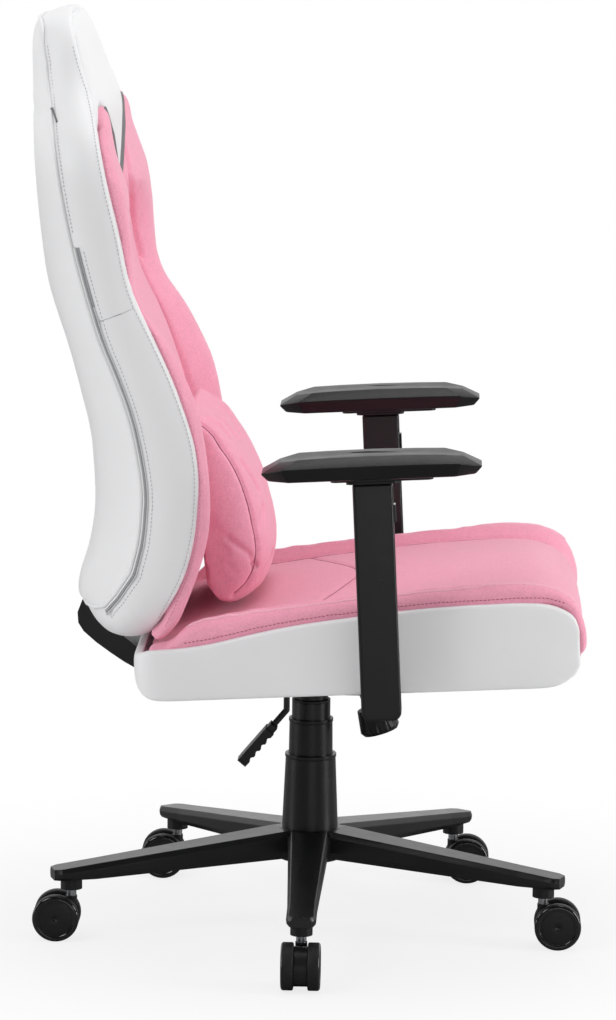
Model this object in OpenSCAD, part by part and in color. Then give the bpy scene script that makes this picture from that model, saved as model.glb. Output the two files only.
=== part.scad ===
// Gaming chair on a five-star base, built as an assembly of separate pieces.
// Frame: +X is the chair's front, +Y its left side, +Z up. The origin is on the
// floor under the swivel axis. All lengths are millimetres, angles are degrees.

/* [Base] */
// Distance from the swivel axis to each caster stem
leg_reach = 320; // [280:5:360]
// Width of a leg where it leaves the hub
leg_root_w = 54; // [46:1:60]
// Width of a leg at its end
leg_tip_w = 38; // [34:1:46]
// Depth of a leg where it leaves the hub
leg_root_h = 37; // [30:1:44]
// Depth of a leg at its end
leg_tip_h = 17; // [14:1:22]
// Height of the top of the hub above the floor
hub_top_z = 131; // [124:1:150]
// Outer diameter of the hub
hub_d = 80; // [76:1:92]
// Drop of a leg's top face from the hub to its end
leg_drop = 37; // [20:1:44]

/* [Casters] */
// Diameter of a caster wheel
wheel_d = 60; // [50:1:66]
// Width of one wheel's tread
tread_w = 12; // [9:0.5:14]
// Height of the domed cap on a wheel's outer face
cap_h = 3.5; // [2:0.5:5]
// Width of the hood between the two wheels
hood_w = 17; // [15:0.5:20]
// Distance from the stem axis back to the wheel axle
caster_trail = 19; // [12:1:22]
// Diameter of the caster stem
stem_d = 11; // [10:0.5:12]
// Length of stem inside its socket
stem_h = 22; // [16:1:26]
// Diameter of the wheel axle
axle_d = 8; // [6:0.5:10]

/* [Gas lift] */
// Outer diameter of the stand tube
tube_d = 50; // [46:1:54]
// Wall of the stand tube
tube_wall = 2.5; // [2:0.5:3.5]
// Height of the top of the stand tube above the floor
tube_top_z = 298; // [290:1:304]
// Diameter of the gas cylinder
cylinder_d = 28; // [26:1:30]
// Diameter of the piston rod
rod_d = 10; // [8:1:12]
// Stroke of the lift
lift_stroke = 100; // [60:5:110]
// Height of the lower cover
lower_cover_h = 98; // [80:2:110]
// Height of the middle cover
middle_cover_h = 145; // [125:1:155]
// Wall of the covers
cover_wall = 2; // [1.5:0.5:2.5]

/* [Tilt mechanism] */
// Height of the underside of the tilt housing above the floor
housing_z = 316; // [310:1:320]
// Width over the side walls of the housing
housing_w = 104; // [96:2:120]
// Thickness of the steel of the housing
housing_t = 4; // [3:0.5:5]
// Distance of the back's pivot behind the swivel axis
back_pivot_x = 95; // [88:1:100]
// Height of the back's pivot above the floor
back_pivot_z = 327; // [325:1:329]
// Diameter of the pivot pins
pivot_d = 12; // [10:0.5:14]
// Forward lean of the tension knob's axis
knob_lean = 17.5; // [0:0.5:25]
// Diameter of the tension knob at its lower rim
knob_d = 52; // [44:1:60]
// Height of the tension knob
knob_h = 34; // [26:1:40]
// Diameter of the lever rod
lever_d = 8; // [6:0.5:9]
// Sideways reach of the lever from the swivel axis
lever_reach = 118; // [90:2:150]
// Length of the grip on the lever
grip_l = 58; // [44:2:70]

/* [Seat] */
// Height of the seat's lower edge above the floor at the swivel axis
seat_z = 352; // [350:1:356]
// Upward pitch of the seat towards its front
seat_pitch = 3; // [2:0.25:4]
// Width of the seat
seat_w = 500; // [480:5:530]
// Distance of the seat's front face before the swivel axis
seat_front = 358; // [330:2:380]
// Distance of the seat's rear face behind the swivel axis
seat_rear = 213; // [205:1:216]
// Thickness of the padded side and rear panels
panel_t = 12; // [8:1:14]
// Height of the seat pan above the lower edge of the side panels
pan_rise = 14; // [14:1:18]
// Thickness of the seat pan
pan_t = 12; // [10:1:15]
// Height that the side bolsters stand above the centre of the seat
bolster_rise = 14; // [6:1:22]

/* [Armrests] */
// Distance between the centre lines of the two armrests
arm_span = 620; // [610:5:660]
// Distance of the armrest upright before the swivel axis, along the seat
arm_u = 95.5; // [80:1:110]
// Width of the upright, front to back
arm_w = 49.5; // [44:0.5:56]
// Thickness of the upright, side to side
arm_t = 30; // [28:1:36]
// Height of the top of the sleeve above the seat's lower edge
arm_h = 278; // [240:2:300]
// Height adjustment of the armrest
arm_travel = 80; // [40:5:90]
// Length of an arm pad
pad_l = 270; // [230:5:300]
// Width of an arm pad
pad_w = 92; // [80:2:104]
// Thickness of an arm pad
pad_h = 28; // [22:1:34]

/* [Backrest] */
// Height of the backrest from its lower edge to its top
back_h = 793; // [750:5:830]
// Height of the backrest's lower edge above the floor
back_z = 409.5; // [409.5:0.5:416]
// Thickness of the steel frame plate inside the back
frame_t = 12; // [8:1:14]
// Width of the bar that carries the back
bar_w = 86; // [70:2:92]
// Width of the lumbar cushion
lumbar_w = 296; // [240:4:300]

/* [Hidden] */
$fn = 64;

// Half width of the backrest at its waist, level with the sides of the seat
back_half_w = seat_w / 2;

// Clearances shared by every fit
run_gap = 0.05;      // radial gap of a running fit
face_gap = 0.3;      // gap between soft or sliding faces
eps = 0.01;          // overlap of cutters with a free face

// Base
leg_count = 5;
leg_angles = [for (i = [0:leg_count - 1]) -90 + i * 360 / leg_count];
caster_turn = [-90, 0, 0, 180, 180];     // way each caster trails
hub_bottom_z = 90;
socket_z = 66;                           // underside of the leg end sockets
socket_d = 18;
leg_side_lip = 0.84;                     // share of a leg's width that is flat on top

// Casters
stem_collar_d = 13;
stem_collar_z = 57;
hood_r = 25;

// Gas lift
tube_bottom_z = hub_bottom_z + 4;
tube_floor = 3;
bearing_h = 4;
cylinder_bottom_z = 118;
cylinder_top_z = 340;
cylinder_wall = 2;
gland_h = 12;
piston_h = 8;
bush_l = 90;
bush_flange_h = 3;
cover_gap = 0.3;
middle_cover_r = tube_d / 2 + 3.6;
lower_cover_r_top = middle_cover_r + cover_wall + 2;
lower_cover_r_bottom = lower_cover_r_top + 3.7;

// Tilt mechanism: seat pivot is given in the seat's own frame
seat_pivot_u = 94;
seat_pivot_w = -27;
plate_t = 3;
plate_w = 156;
ear_t = 3;
lever_x = -28;
lever_z = 334;
socket_tube_d = 44;
knob_x = 72;

function seat_x(u, w) = u * cos(seat_pitch) - w * sin(seat_pitch);
function seat_h(u, w) = seat_z + u * sin(seat_pitch) + w * cos(seat_pitch);
seat_pivot = [seat_x(seat_pivot_u, seat_pivot_w), seat_h(seat_pivot_u, seat_pivot_w)];

// Seat
pan_top = pan_rise + pan_t;
arm_bolts_u = [-15, 15];
arm_bolts_y = [140, 195];
plate_bolts = [for (u = [-80, 100], y = [-66, 66]) [u, y]];
bolt_d = 8;
bolt_head_d = 14;
bolt_head_h = 5;

// Armrests
bracket_t = 8;
bracket_l = arm_w - 3.5;
sleeve_wall = 3.5;
sleeve_foot = 19;
post_gap = 1;
slide_t = 4.2;
flange_t = 3;
pivot_pin_d = 16;
slide_range = 25;
pivot_ahead = 45;
stud_d = 8;
pad_floor = arm_h + flange_t + slide_t + 2.5 * face_gap;

// ---------------------------------------------------------------- helpers

function mix(a, b, t) = a + (b - a) * t;

// Smooth value at z of a table [[z, value], ...], by cubic pieces
function slope_at(t, i) =
    i == 0 ? (t[1][1] - t[0][1]) / (t[1][0] - t[0][0])
    : i == len(t) - 1 ? (t[i][1] - t[i - 1][1]) / (t[i][0] - t[i - 1][0])
    : (t[i + 1][1] - t[i - 1][1]) / (t[i + 1][0] - t[i - 1][0]);
function piece_at(z, t, i = 0) =
    (i >= len(t) - 2 || z < t[i + 1][0]) ? i : piece_at(z, t, i + 1);
function curve(z, t) =
    z <= t[0][0] ? t[0][1]
    : z >= t[len(t) - 1][0] ? t[len(t) - 1][1]
    : let (i = piece_at(z, t),
           h = t[i + 1][0] - t[i][0],
           s = (z - t[i][0]) / h,
           a = slope_at(t, i) * h,
           b = slope_at(t, i + 1) * h)
      (2 * s * s * s - 3 * s * s + 1) * t[i][1] + (s * s * s - 2 * s * s + s) * a
      + (3 * s * s - 2 * s * s * s) * t[i + 1][1] + (s * s * s - s * s) * b;

// Closed solid through rings of points; each ring runs anticlockwise seen
// from the end that the rings advance towards. A wall's ring runs along its
// inner face and back along its outer face, and its ends close point by point.
function end_faces(n, wall) =
    wall ? [for (j = [0:n / 2 - 2], k = [0, 1])
        k == 0 ? [j, j + 1, n - 1 - j] : [j + 1, n - 2 - j, n - 1 - j]]
    : [[for (j = [0:n - 1]) j]];

// Each side face is split along its shorter diagonal, so that neighbours fit
function side_faces(rings, i, j) =
    let (n = len(rings[0]), k = (j + 1) % n, a = i * n + j, b = i * n + k, c = b + n, d = a + n)
    norm(rings[i + 1][k] - rings[i][j]) <= norm(rings[i + 1][j] - rings[i][k])
    ? [[a, d, c], [a, c, b]] : [[a, d, b], [b, d, c]];

module loft(rings, wall = false) {
    n = len(rings[0]);
    m = len(rings);
    ends = end_faces(n, wall);
    polyhedron(
        points = [for (r = rings, p = r) p],
        faces = concat(
            ends,
            [for (i = [0:m - 2], j = [0:n - 1], f = side_faces(rings, i, j)) f],
            [for (e = ends) [for (j = [len(e) - 1:-1:0]) (m - 1) * n + e[j]]]));
}

module tube(od, id, h) {
    difference() {
        cylinder(d = od, h = h);
        translate([0, 0, -eps]) cylinder(d = id, h = h + 2 * eps);
    }
}

module along_y(d, l) {
    rotate([90, 0, 0]) cylinder(d = d, h = l, center = true);
}

// Plate in the XZ plane of the given thickness, centred on Y = 0
module side_plate(points, t) {
    rotate([90, 0, 0]) linear_extrude(height = t, center = true) polygon(points);
}

module rounded_plate(l, w, r, h) {
    union() {
        translate([-l / 2 + r, -w / 2, 0]) cube([l - 2 * r, w, h]);
        translate([-l / 2, -w / 2 + r, 0]) cube([l, w - 2 * r, h]);
        for (x = [-1, 1], y = [-1, 1])
            translate([x * (l / 2 - r), y * (w / 2 - r), 0]) cylinder(r = r, h = h);
    }
}

// Places its children in the pitched frame of the seat
module in_seat() {
    translate([0, 0, seat_z]) rotate([0, -seat_pitch, 0]) children();
}

// ---------------------------------------------------------------- base

leg_end_r = leg_reach + 25;
leg_round = 9;
leg_flat_r = leg_reach - 30;

function leg_w(r) =
    let (w = mix(leg_root_w, leg_tip_w, min(1, (r - hub_d / 2) / (leg_flat_r - hub_d / 2))),
         over = max(0, r - (leg_end_r - leg_round)) / leg_round)
    w * sqrt(max(0.5, 1 - over * over));
function leg_top(r) =
    hub_top_z - 0.5 - leg_drop * max(0, r - hub_d / 2) / (leg_end_r - hub_d / 2);
function leg_bottom(r) =
    let (flat_z = leg_top(leg_reach) - leg_tip_h)
    r > leg_flat_r ? flat_z
    : mix(hub_top_z - leg_root_h, flat_z, (r - hub_d / 2) / (leg_flat_r - hub_d / 2));

function leg_ring(r) =
    let (w = leg_w(r) / 2, t = leg_top(r), b = leg_bottom(r), lip = leg_side_lip * w,
         drop = min(7, (t - b) * 0.4))
    [[r, -lip, t], [r, -w, t - drop], [r, -w * 0.96, mix(b, t, 0.25)], [r, -w * 0.8, b],
     [r, w * 0.8, b], [r, w * 0.96, mix(b, t, 0.25)], [r, w, t - drop], [r, lip, t]];

module leg() {
    end = leg_end_r;
    loft([for (r = [26, hub_d / 2, 120, 200, leg_flat_r, leg_reach, end - leg_round,
                    end - leg_round * 0.5, end - leg_round * 0.15, end]) leg_ring(r)]);
}

module at_legs() {
    for (a = leg_angles) rotate([0, 0, a]) translate([leg_reach, 0, 0]) children();
}

module star_base() {
    color("#2b2b2d") difference() {
        union() {
            translate([0, 0, hub_bottom_z]) cylinder(d = hub_d, h = hub_top_z - hub_bottom_z);
            for (a = leg_angles) rotate([0, 0, a]) leg();
        }
        translate([0, 0, tube_bottom_z]) cylinder(d = tube_d, h = hub_top_z);
        translate([0, 0, hub_bottom_z - eps]) cylinder(d = tube_d - 10, h = 10);
        at_legs() translate([0, 0, socket_z - eps]) cylinder(d = socket_d, h = stem_h + 3 + face_gap);
    }
}

// Sleeve and foot that hold one caster stem, under and inside a leg's end
module leg_end_sockets() {
    leg_underside = leg_bottom(leg_reach);
    color("#1a1a1b") at_legs() difference() {
        union() {
            translate([0, 0, socket_z]) cylinder(d = leg_tip_w - 10, h = leg_underside - socket_z);
            translate([0, 0, socket_z]) cylinder(d = socket_d, h = stem_h + 3);
        }
        translate([0, 0, socket_z - eps]) cylinder(d = stem_d + 2 * run_gap, h = stem_h + 0.5);
    }
}

// ---------------------------------------------------------------- casters

module caster_place(i) {
    rotate([0, 0, leg_angles[i]]) translate([leg_reach, 0, 0])
        rotate([0, 0, caster_turn[i] - leg_angles[i]]) children();
}

module at_axle() {
    translate([caster_trail, 0, wheel_d / 2]) children();
}

module caster_hood(i) {
    color("#1c1c1d") caster_place(i) difference() {
        union() {
            at_axle() along_y(2 * hood_r, hood_w);
            translate([0, 0, wheel_d / 2]) cylinder(d = hood_w - 2, h = stem_collar_z - wheel_d / 2);
            translate([0, -hood_w / 2, wheel_d / 2 - 6]) cube([caster_trail, hood_w, 24]);
        }
        at_axle() along_y(axle_d + 2 * run_gap, hood_w + 1);
        translate([0, 0, stem_collar_z - 14]) cylinder(d = stem_d, h = 20);
    }
}

module caster_stem(i) {
    color("#8f9194") caster_place(i) {
        translate([0, 0, stem_collar_z - 14])
            cylinder(d = stem_d, h = 14 + socket_z - stem_collar_z + stem_h);
        translate([0, 0, stem_collar_z]) cylinder(d = stem_collar_d, h = socket_z - stem_collar_z);
    }
}

// One wheel, with its inner face on Y = 0 and its domed cap towards +Y
module wheel() {
    r = wheel_d / 2;
    rotate([-90, 0, 0]) rotate_extrude() polygon([
        [axle_d / 2, -0.4], [axle_d / 2 + 4, -0.4], [axle_d / 2 + 4, 1], [r - 6, 1], [r - 5, 0.3],
        [r - 1, 0.3], [r, 1.5], [r, tread_w - 1], [r - 0.8, tread_w], [r - 3.5, tread_w + cap_h * 0.55],
        [r * 0.76, tread_w + cap_h * 0.7], [r * 0.73, tread_w + cap_h * 0.45],
        [r * 0.5, tread_w + cap_h * 0.8], [r * 0.25, tread_w + cap_h * 0.95],
        [0, tread_w + cap_h], [0, tread_w - 3], [axle_d / 2, tread_w - 3]]);
}

module caster_wheels(i) {
    side = hood_w / 2 + 0.7;
    color("#151516") caster_place(i) at_axle() {
        translate([0, side, 0]) wheel();
        mirror([0, 1, 0]) translate([0, side, 0]) wheel();
    }
}

module caster_axle(i) {
    color("#9a9c9f") caster_place(i) at_axle()
        along_y(axle_d, hood_w + 2 * (0.7 + tread_w - 3));
}

// ---------------------------------------------------------------- gas lift

module stand_tube() {
    color("#232325") translate([0, 0, tube_bottom_z]) difference() {
        cylinder(d = tube_d, h = tube_top_z - tube_bottom_z);
        translate([0, 0, tube_floor]) cylinder(d = tube_d - 2 * tube_wall, h = tube_top_z);
        translate([0, 0, -eps]) cylinder(d = rod_d + 2 * run_gap, h = tube_floor + 1);
    }
}

module guide_bush() {
    color("#d8d6cf") translate([0, 0, tube_top_z - bush_l]) difference() {
        union() {
            cylinder(d = tube_d - 2 * tube_wall, h = bush_l);
            translate([0, 0, bush_l]) cylinder(d = tube_d, h = bush_flange_h);
        }
        translate([0, 0, -eps]) cylinder(d = cylinder_d + 2 * run_gap, h = bush_l + bush_flange_h + 1);
    }
}

module thrust_bearing() {
    color("#b9bbbe") translate([0, 0, tube_bottom_z + tube_floor])
        tube(rod_d + 16, rod_d + 4 * run_gap, bearing_h);
}

module lower_cover() {
    rb = lower_cover_r_bottom;
    rt = lower_cover_r_top;
    lip = 0.8;
    color("#262628") translate([0, 0, hub_top_z]) rotate_extrude() polygon([
        [rb - cover_wall, 0], [rb, 0], [rb, 6], [rt, lower_cover_h - 5], [rt + lip, lower_cover_h - 4],
        [rt + lip, lower_cover_h], [middle_cover_r + cover_gap, lower_cover_h],
        [middle_cover_r + cover_gap, lower_cover_h - 3], [rt - cover_wall, lower_cover_h - 6],
        [rb - cover_wall, 6]]);
}

module middle_cover() {
    r = middle_cover_r;
    tr = tube_d / 2;
    color("#29292b") translate([0, 0, hub_top_z]) rotate_extrude() polygon([
        [r - cover_wall, 0], [r, 0], [r, lower_cover_h + 2], [r - 0.5, middle_cover_h - 5],
        [r + 0.3, middle_cover_h - 4], [r + 0.3, middle_cover_h], [tr + cover_gap, middle_cover_h],
        [tr + cover_gap, middle_cover_h - 3], [r - cover_wall, middle_cover_h - 6]]);
}

// Rod with its shoulder on the thrust bearing and its piston in the cylinder
module piston_rod() {
    bottom = tube_bottom_z - 5;
    shoulder = tube_bottom_z + tube_floor + bearing_h;
    piston_z = cylinder_bottom_z + gland_h + lift_stroke + 5;
    color("#c9cbcf") {
        translate([0, 0, bottom]) cylinder(d = rod_d, h = piston_z - bottom + piston_h);
        translate([0, 0, shoulder]) cylinder(d = rod_d + 8, h = 4);
        translate([0, 0, piston_z])
            cylinder(d = cylinder_d - 2 * cylinder_wall - 2 * run_gap, h = piston_h);
    }
}

module retaining_clip() {
    color("#77797c") translate([0, 0, tube_bottom_z - 1.6]) difference() {
        tube(rod_d + 8, rod_d, 1.4);
        translate([0, -rod_d * 0.3, -1]) cube([rod_d, rod_d * 0.6, 4]);
    }
}

module gas_cylinder() {
    color("#1f1f21") difference() {
        union() {
            translate([0, 0, cylinder_bottom_z])
                cylinder(d = cylinder_d, h = cylinder_top_z - cylinder_bottom_z - 3);
            translate([0, 0, cylinder_top_z - 3 - eps]) cylinder(d = 8, h = 3);
        }
        translate([0, 0, cylinder_bottom_z - eps]) cylinder(d = rod_d + 2 * run_gap, h = gland_h + 1);
        translate([0, 0, cylinder_bottom_z + gland_h])
            cylinder(d = cylinder_d - 2 * cylinder_wall,
                     h = cylinder_top_z - cylinder_bottom_z - gland_h - 20);
    }
}

// ---------------------------------------------------------------- tilt mechanism

// Steel tray with open top: side walls, floor, socket for the gas cylinder
module tilt_housing() {
    half = housing_w / 2;
    front = seat_pivot[0] + 17;
    rear = -back_pivot_x - 13;
    floor_rear = -back_pivot_x + 15;
    wall_front_z = seat_pivot[1] + 15;
    color("#202022") difference() {
        union() {
            for (s = [-1, 1]) translate([0, s * (half - housing_t / 2), 0])
                side_plate([[rear, housing_z], [front, housing_z], [front, wall_front_z],
                            [20, 347], [rear, 335]], housing_t);
            translate([floor_rear, -half, housing_z]) cube([front - floor_rear, housing_w, housing_t]);
            translate([front - housing_t, -half, housing_z])
                cube([housing_t, housing_w, wall_front_z - housing_z]);
            translate([0, 0, tube_top_z + bush_flange_h + face_gap])
                cylinder(d = socket_tube_d, h = cylinder_top_z - 2 - tube_top_z - bush_flange_h - face_gap);
            knob_axis() translate([0, 0, 2]) cylinder(d = 26, h = 14);
        }
        translate([0, 0, tube_top_z]) cylinder(d = cylinder_d, h = 80);
        translate([seat_pivot[0], 0, seat_pivot[1]]) along_y(pivot_d, housing_w + 2);
        translate([-back_pivot_x, 0, back_pivot_z]) along_y(pivot_d, housing_w + 2);
        translate([lever_x, 0, lever_z]) along_y(lever_d + 2 * run_gap, housing_w + 2);
        knob_axis() translate([0, 0, -30]) cylinder(d = rod_d + 2 * run_gap, h = 60);
    }
}

// Frame whose +Z runs down the tension knob's axis from inside the tray
module knob_axis() {
    translate([knob_x, 0, housing_z + housing_t]) rotate([0, 180 - knob_lean, 0]) children();
}

module pivot_pins() {
    color("#a7a9ac") {
        translate([seat_pivot[0], 0, seat_pivot[1]]) along_y(pivot_d, housing_w + 4 * ear_t);
        translate([-back_pivot_x, 0, back_pivot_z]) along_y(pivot_d, housing_w + 6);
    }
}

// Coil spring around the tension spindle
module tilt_spring() {
    turns = 3.5;
    steps = 14;
    pitch = 6.2;
    coil_r = 15;
    wire_r = 2.2;
    sides = 6;
    color("#b0b2b5") knob_axis() rotate([180, 0, 0]) translate([0, 0, wire_r + 5.6]) loft([
        for (i = [0:turns * steps]) let (a = i * 360 / steps, z = pitch * i / steps)
            [for (k = [0:sides - 1]) let (b = -k * 360 / sides)
                [(coil_r + wire_r * cos(b)) * cos(a), (coil_r + wire_r * cos(b)) * sin(a),
                 z + wire_r * sin(b)]]]);
}

// Knob with a ribbed neck; its spindle runs through the boss of the housing
module tension_knob() {
    neck_top = 16 + face_gap;
    neck_l = 14;
    knob_top = neck_top + neck_l;
    color("#19191a") knob_axis() difference() {
        union() {
            translate([0, 0, -18]) cylinder(d = rod_d, h = 18 + neck_top + 2);
            translate([0, 0, neck_top]) cylinder(d = 19, h = neck_l + 1);
            for (i = [0:3]) translate([0, 0, neck_top + 0.5 + i * neck_l / 4])
                cylinder(d = 24, h = neck_l / 8);
            translate([0, 0, knob_top]) cylinder(d1 = knob_d - 8, d2 = knob_d, h = knob_h - 5);
            translate([0, 0, knob_top + knob_h - 5]) cylinder(d1 = knob_d, d2 = knob_d - 7, h = 5);
        }
        for (a = [0:30:330]) rotate([0, 0, a])
            translate([knob_d / 2 + 1.6, 0, knob_top + 4]) cylinder(d = 7, h = knob_h, $fn = 24);
    }
}

// Cylinder from point a to point b with round ends
module rod_between(a, b, d) {
    v = b - a;
    l = norm(v);
    translate(a) rotate([0, acos(v[2] / l), atan2(v[1], v[0])]) cylinder(d = d, h = l);
    translate(b) sphere(d = d);
}

lever_lean = 40;
lever_knee = [lever_x, -lever_reach, lever_z - 25];
lever_end = lever_knee - 29 * [sin(lever_lean), 0, cos(lever_lean)];

module lever_rod() {
    finger_z = cylinder_top_z + 5.3;
    color("#1b1b1c") {
        translate([lever_x, -lever_reach, lever_z]) rotate([-90, 0, 0])
            cylinder(d = lever_d, h = lever_reach + housing_w / 2 + 2);
        translate([lever_x, -lever_reach, lever_z]) sphere(d = lever_d);
        rod_between([lever_x, -lever_reach, lever_z], lever_knee, lever_d);
        rod_between(lever_knee, lever_end, lever_d);
        side_plate([[lever_x - 3, lever_z], [lever_x - 3, finger_z + 2], [5, finger_z + 2],
                    [5, finger_z], [lever_x + 3, finger_z], [lever_x + 3, lever_z]], 12);
    }
}

// Flat grip with finger hollows along its lower face
module lever_grip() {
    color("#161617") translate(lever_end) rotate([0, 180 + lever_lean, 0]) difference() {
        union() {
            translate([-6, -12, -4]) cube([11, 24, 14]);
            translate([-7, -15, 4]) cube([13, 30, grip_l - 6]);
            translate([-0.5, 0, grip_l - 2]) cube([13, 26, 8], center = true);
        }
        translate([0, 0, -6]) cylinder(d = lever_d, h = 10);
        sphere(d = lever_d + 2 * run_gap);
        for (i = [0:3]) translate([-9, 0, 14 + i * 11]) along_y(9, 40);
    }
}

// ---------------------------------------------------------------- seat

seat_half = seat_w / 2;

// Heights above the lower edge along the seat: edge of the side panels, and
// crest of the bolsters; stations run from the rear face to the front face
edge_curve = [[-seat_rear, 60], [-198, 65.5], [-165, 66], [-120, 71], [-79, 79], [-11, 91],
              [75, 100], [139, 106], [243, 110], [seat_front - 57, 107], [seat_front - 29, 100],
              [seat_front - 15, 87]];
crest_curve = [[-seat_rear, 61], [-198, 68], [-170, 69], [-156, 84], [-140, 94], [-79, 104], [-10, 112],
               [139, 124], [245, 128], [seat_front - 66, 125], [seat_front - 40, 118],
               [seat_front - 18, 104], [seat_front - 5, 82], [seat_front, 60]];

side_stations = [-200, -190, -172, -164, -156, -148, -138, -110, -79, -40, -10, 40, 90, 139, 190,
                 245, seat_front - 66, seat_front - 50, seat_front - 36, seat_front - 35,
                 seat_front - 24, seat_front - 16];

panel_front = 12;    // front edge of the side panels behind the seat's front face
seat_corner = 42;    // radius of the seat's lower front corner

module side_edge_profile() {
    stations = side_stations;
    r = 22;
    front = seat_front - panel_front;
    rf = seat_corner;
    polygon(concat(
        [for (k = [0:4]) let (a = 180 + k * 22.5) [-seat_rear + r + r * cos(a), r + r * sin(a)]],
        [for (k = [0:5]) let (a = 270 + k * 18) [front - rf + rf * cos(a), rf + rf * sin(a)]],
        [for (i = [len(stations) - 1:-1:0]) [stations[i], curve(stations[i], edge_curve)]],
        [[-seat_rear, 56]]));
}

// Padded panels along both sides and across the rear, cut for the back's bar
module seat_side_cover() {
    color("#f0f0f0") in_seat() difference() {
        union() {
            for (s = [-1, 1]) translate([0, s * (seat_half - panel_t / 2), 0])
                rotate([90, 0, 0]) linear_extrude(height = panel_t, center = true) side_edge_profile();
            translate([-seat_rear, -seat_half + 2, 22]) cube([panel_t, seat_w - 4, 34]);
            translate([-seat_rear + 6, -seat_half + 2, 3]) cube([panel_t - 6, seat_w - 4, 20]);
        }
        translate([-seat_rear - 1, -bar_w / 2 - 8, -1]) cube([panel_t + 2, bar_w + 16, 33]);
    }
}

module seat_pan() {
    half = seat_half - panel_t - face_gap;
    rear = -seat_rear + panel_t + face_gap;
    color("#b98f5d") in_seat() difference() {
        translate([rear + 8, -half, pan_rise]) cube([seat_front - 36 - rear - 8, 2 * half, pan_t]);
        bolt_holes();
    }
}

function seat_ring(u) =
    let (inner = seat_half - panel_t - face_gap,
         front = u > seat_front - panel_front + 0.5,
         over = max(0, u - (seat_front - panel_front)) / panel_front,
         tuck = 10 * over * over,
         fall = max(0, u - (seat_front - seat_corner)),
         side = seat_half - tuck,
         low_y = front ? side : inner,
         base = u > seat_front - 35.5
             ? 2 + seat_corner - sqrt(max(0, pow(seat_corner, 2) - fall * fall)) : pan_top,
         c = curve(u, crest_curve),
         e = front ? min(c - 6, curve(u, edge_curve)) : min(c - 1, curve(u, edge_curve) + face_gap),
         rise = min(bolster_rise, max(0, (c - e) * 0.8)),
         m = c - rise,
         half = [[0, base], [low_y * 0.5, base], [low_y, base], [low_y, e], [side - 1, e + 0.2],
                 [side, mix(e, c, 0.35)], [side - 5, mix(e, c, 0.75)], [side - 17, c],
                 [side - 32, c - 0.15 * rise], [side - 44, m + 0.1 * rise], [side - 60, m],
                 [side * 0.5, m + 2], [0, m + 4]])
    concat([for (p = half) [u, p[0], p[1]]],
           [for (i = [len(half) - 2:-1:1]) [u, -half[i][0], half[i][1]]]);

// Foam of the seat with raised bolsters, wrapping over the front edge
module seat_cushion() {
    front_stations = [for (d = [1, 0.9, 0.65, 0.4, 0.15, 0]) seat_front - d * panel_front];
    color("#f4afc4") in_seat()
        loft([for (u = concat([-seat_rear + panel_t + face_gap], side_stations, front_stations))
            if (u >= -seat_rear + panel_t + face_gap) seat_ring(u)]);
}

// Plate under the pan with two ears that hang on the seat pivot
module seat_plate() {
    ear_y = housing_w / 2 + face_gap + ear_t / 2;
    color("#2a2a2c") in_seat() difference() {
        union() {
            translate([-100, -plate_w / 2, pan_rise - plate_t]) cube([222, plate_w, plate_t]);
            for (s = [-1, 1]) translate([0, s * ear_y, 0]) {
                side_plate([[seat_pivot_u - 26, pan_rise - 1], [seat_pivot_u - 11, seat_pivot_w],
                            [seat_pivot_u + 11, seat_pivot_w], [seat_pivot_u + 24, pan_rise - 1]], ear_t);
                translate([seat_pivot_u, 0, seat_pivot_w]) along_y(22, ear_t);
            }
        }
        translate([seat_pivot_u, 0, seat_pivot_w]) along_y(pivot_d + 2 * run_gap, housing_w + 20);
        bolt_holes();
    }
}

// Positions of every bolt into the pan: under the plate and under both brackets
module at_bolts() {
    for (p = plate_bolts) translate([p[0], p[1], pan_rise - plate_t]) children();
    for (s = [-1, 1], u = arm_bolts_u, y = arm_bolts_y)
        translate([arm_u + u, s * y, pan_rise - bracket_t]) children();
}

module bolt_holes() {
    at_bolts() translate([0, 0, -20]) cylinder(d = bolt_d, h = 60);
}

module seat_bolts() {
    color("#6e7073") in_seat() at_bolts() {
        translate([0, 0, -bolt_head_h]) cylinder(d = bolt_head_d, h = bolt_head_h);
        cylinder(d = bolt_d, h = plate_t + pan_t - 1);
    }
}

// ---------------------------------------------------------------- armrests

arm_y = arm_span / 2;
foot_z = -15;        // underside of the bracket, below the seat's lower edge

// Draws its children for the left arm, and mirrored for the right arm
module arm_side(s) {
    in_seat() mirror([0, s > 0 ? 0 : 1, 0]) translate([arm_u, 0, 0]) children();
}

// Profile of the bracket across the chair: under the pan, down round the side
// panel, and up inside the sleeve
module bracket_profile(g = 0) {
    y_in = 120;
    y_joggle = seat_half - panel_t - 25;
    y0 = arm_y - bracket_t / 2;
    y1 = arm_y + bracket_t / 2;
    polygon([[y1 + g, foot_z - g], [y1 + g, 78 + g], [y0 - g, 78 + g], [y0 - g, foot_z + bracket_t + g],
             [y_joggle + 16, foot_z + bracket_t + g], [y_joggle, pan_rise + g], [y_in, pan_rise + g],
             [y_in, pan_rise - bracket_t - g], [y_joggle + 4, pan_rise - bracket_t - g],
             [y_joggle + 20, foot_z - g]]);
}

module arm_bracket(s) {
    color("#202022") arm_side(s) difference() {
        rotate([90, 0, 90]) linear_extrude(height = bracket_l, center = true) bracket_profile();
        for (u = arm_bolts_u, y = arm_bolts_y) translate([u, y, pan_rise - bracket_t - 10])
            cylinder(d = bolt_d, h = 40);
    }
}

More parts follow.
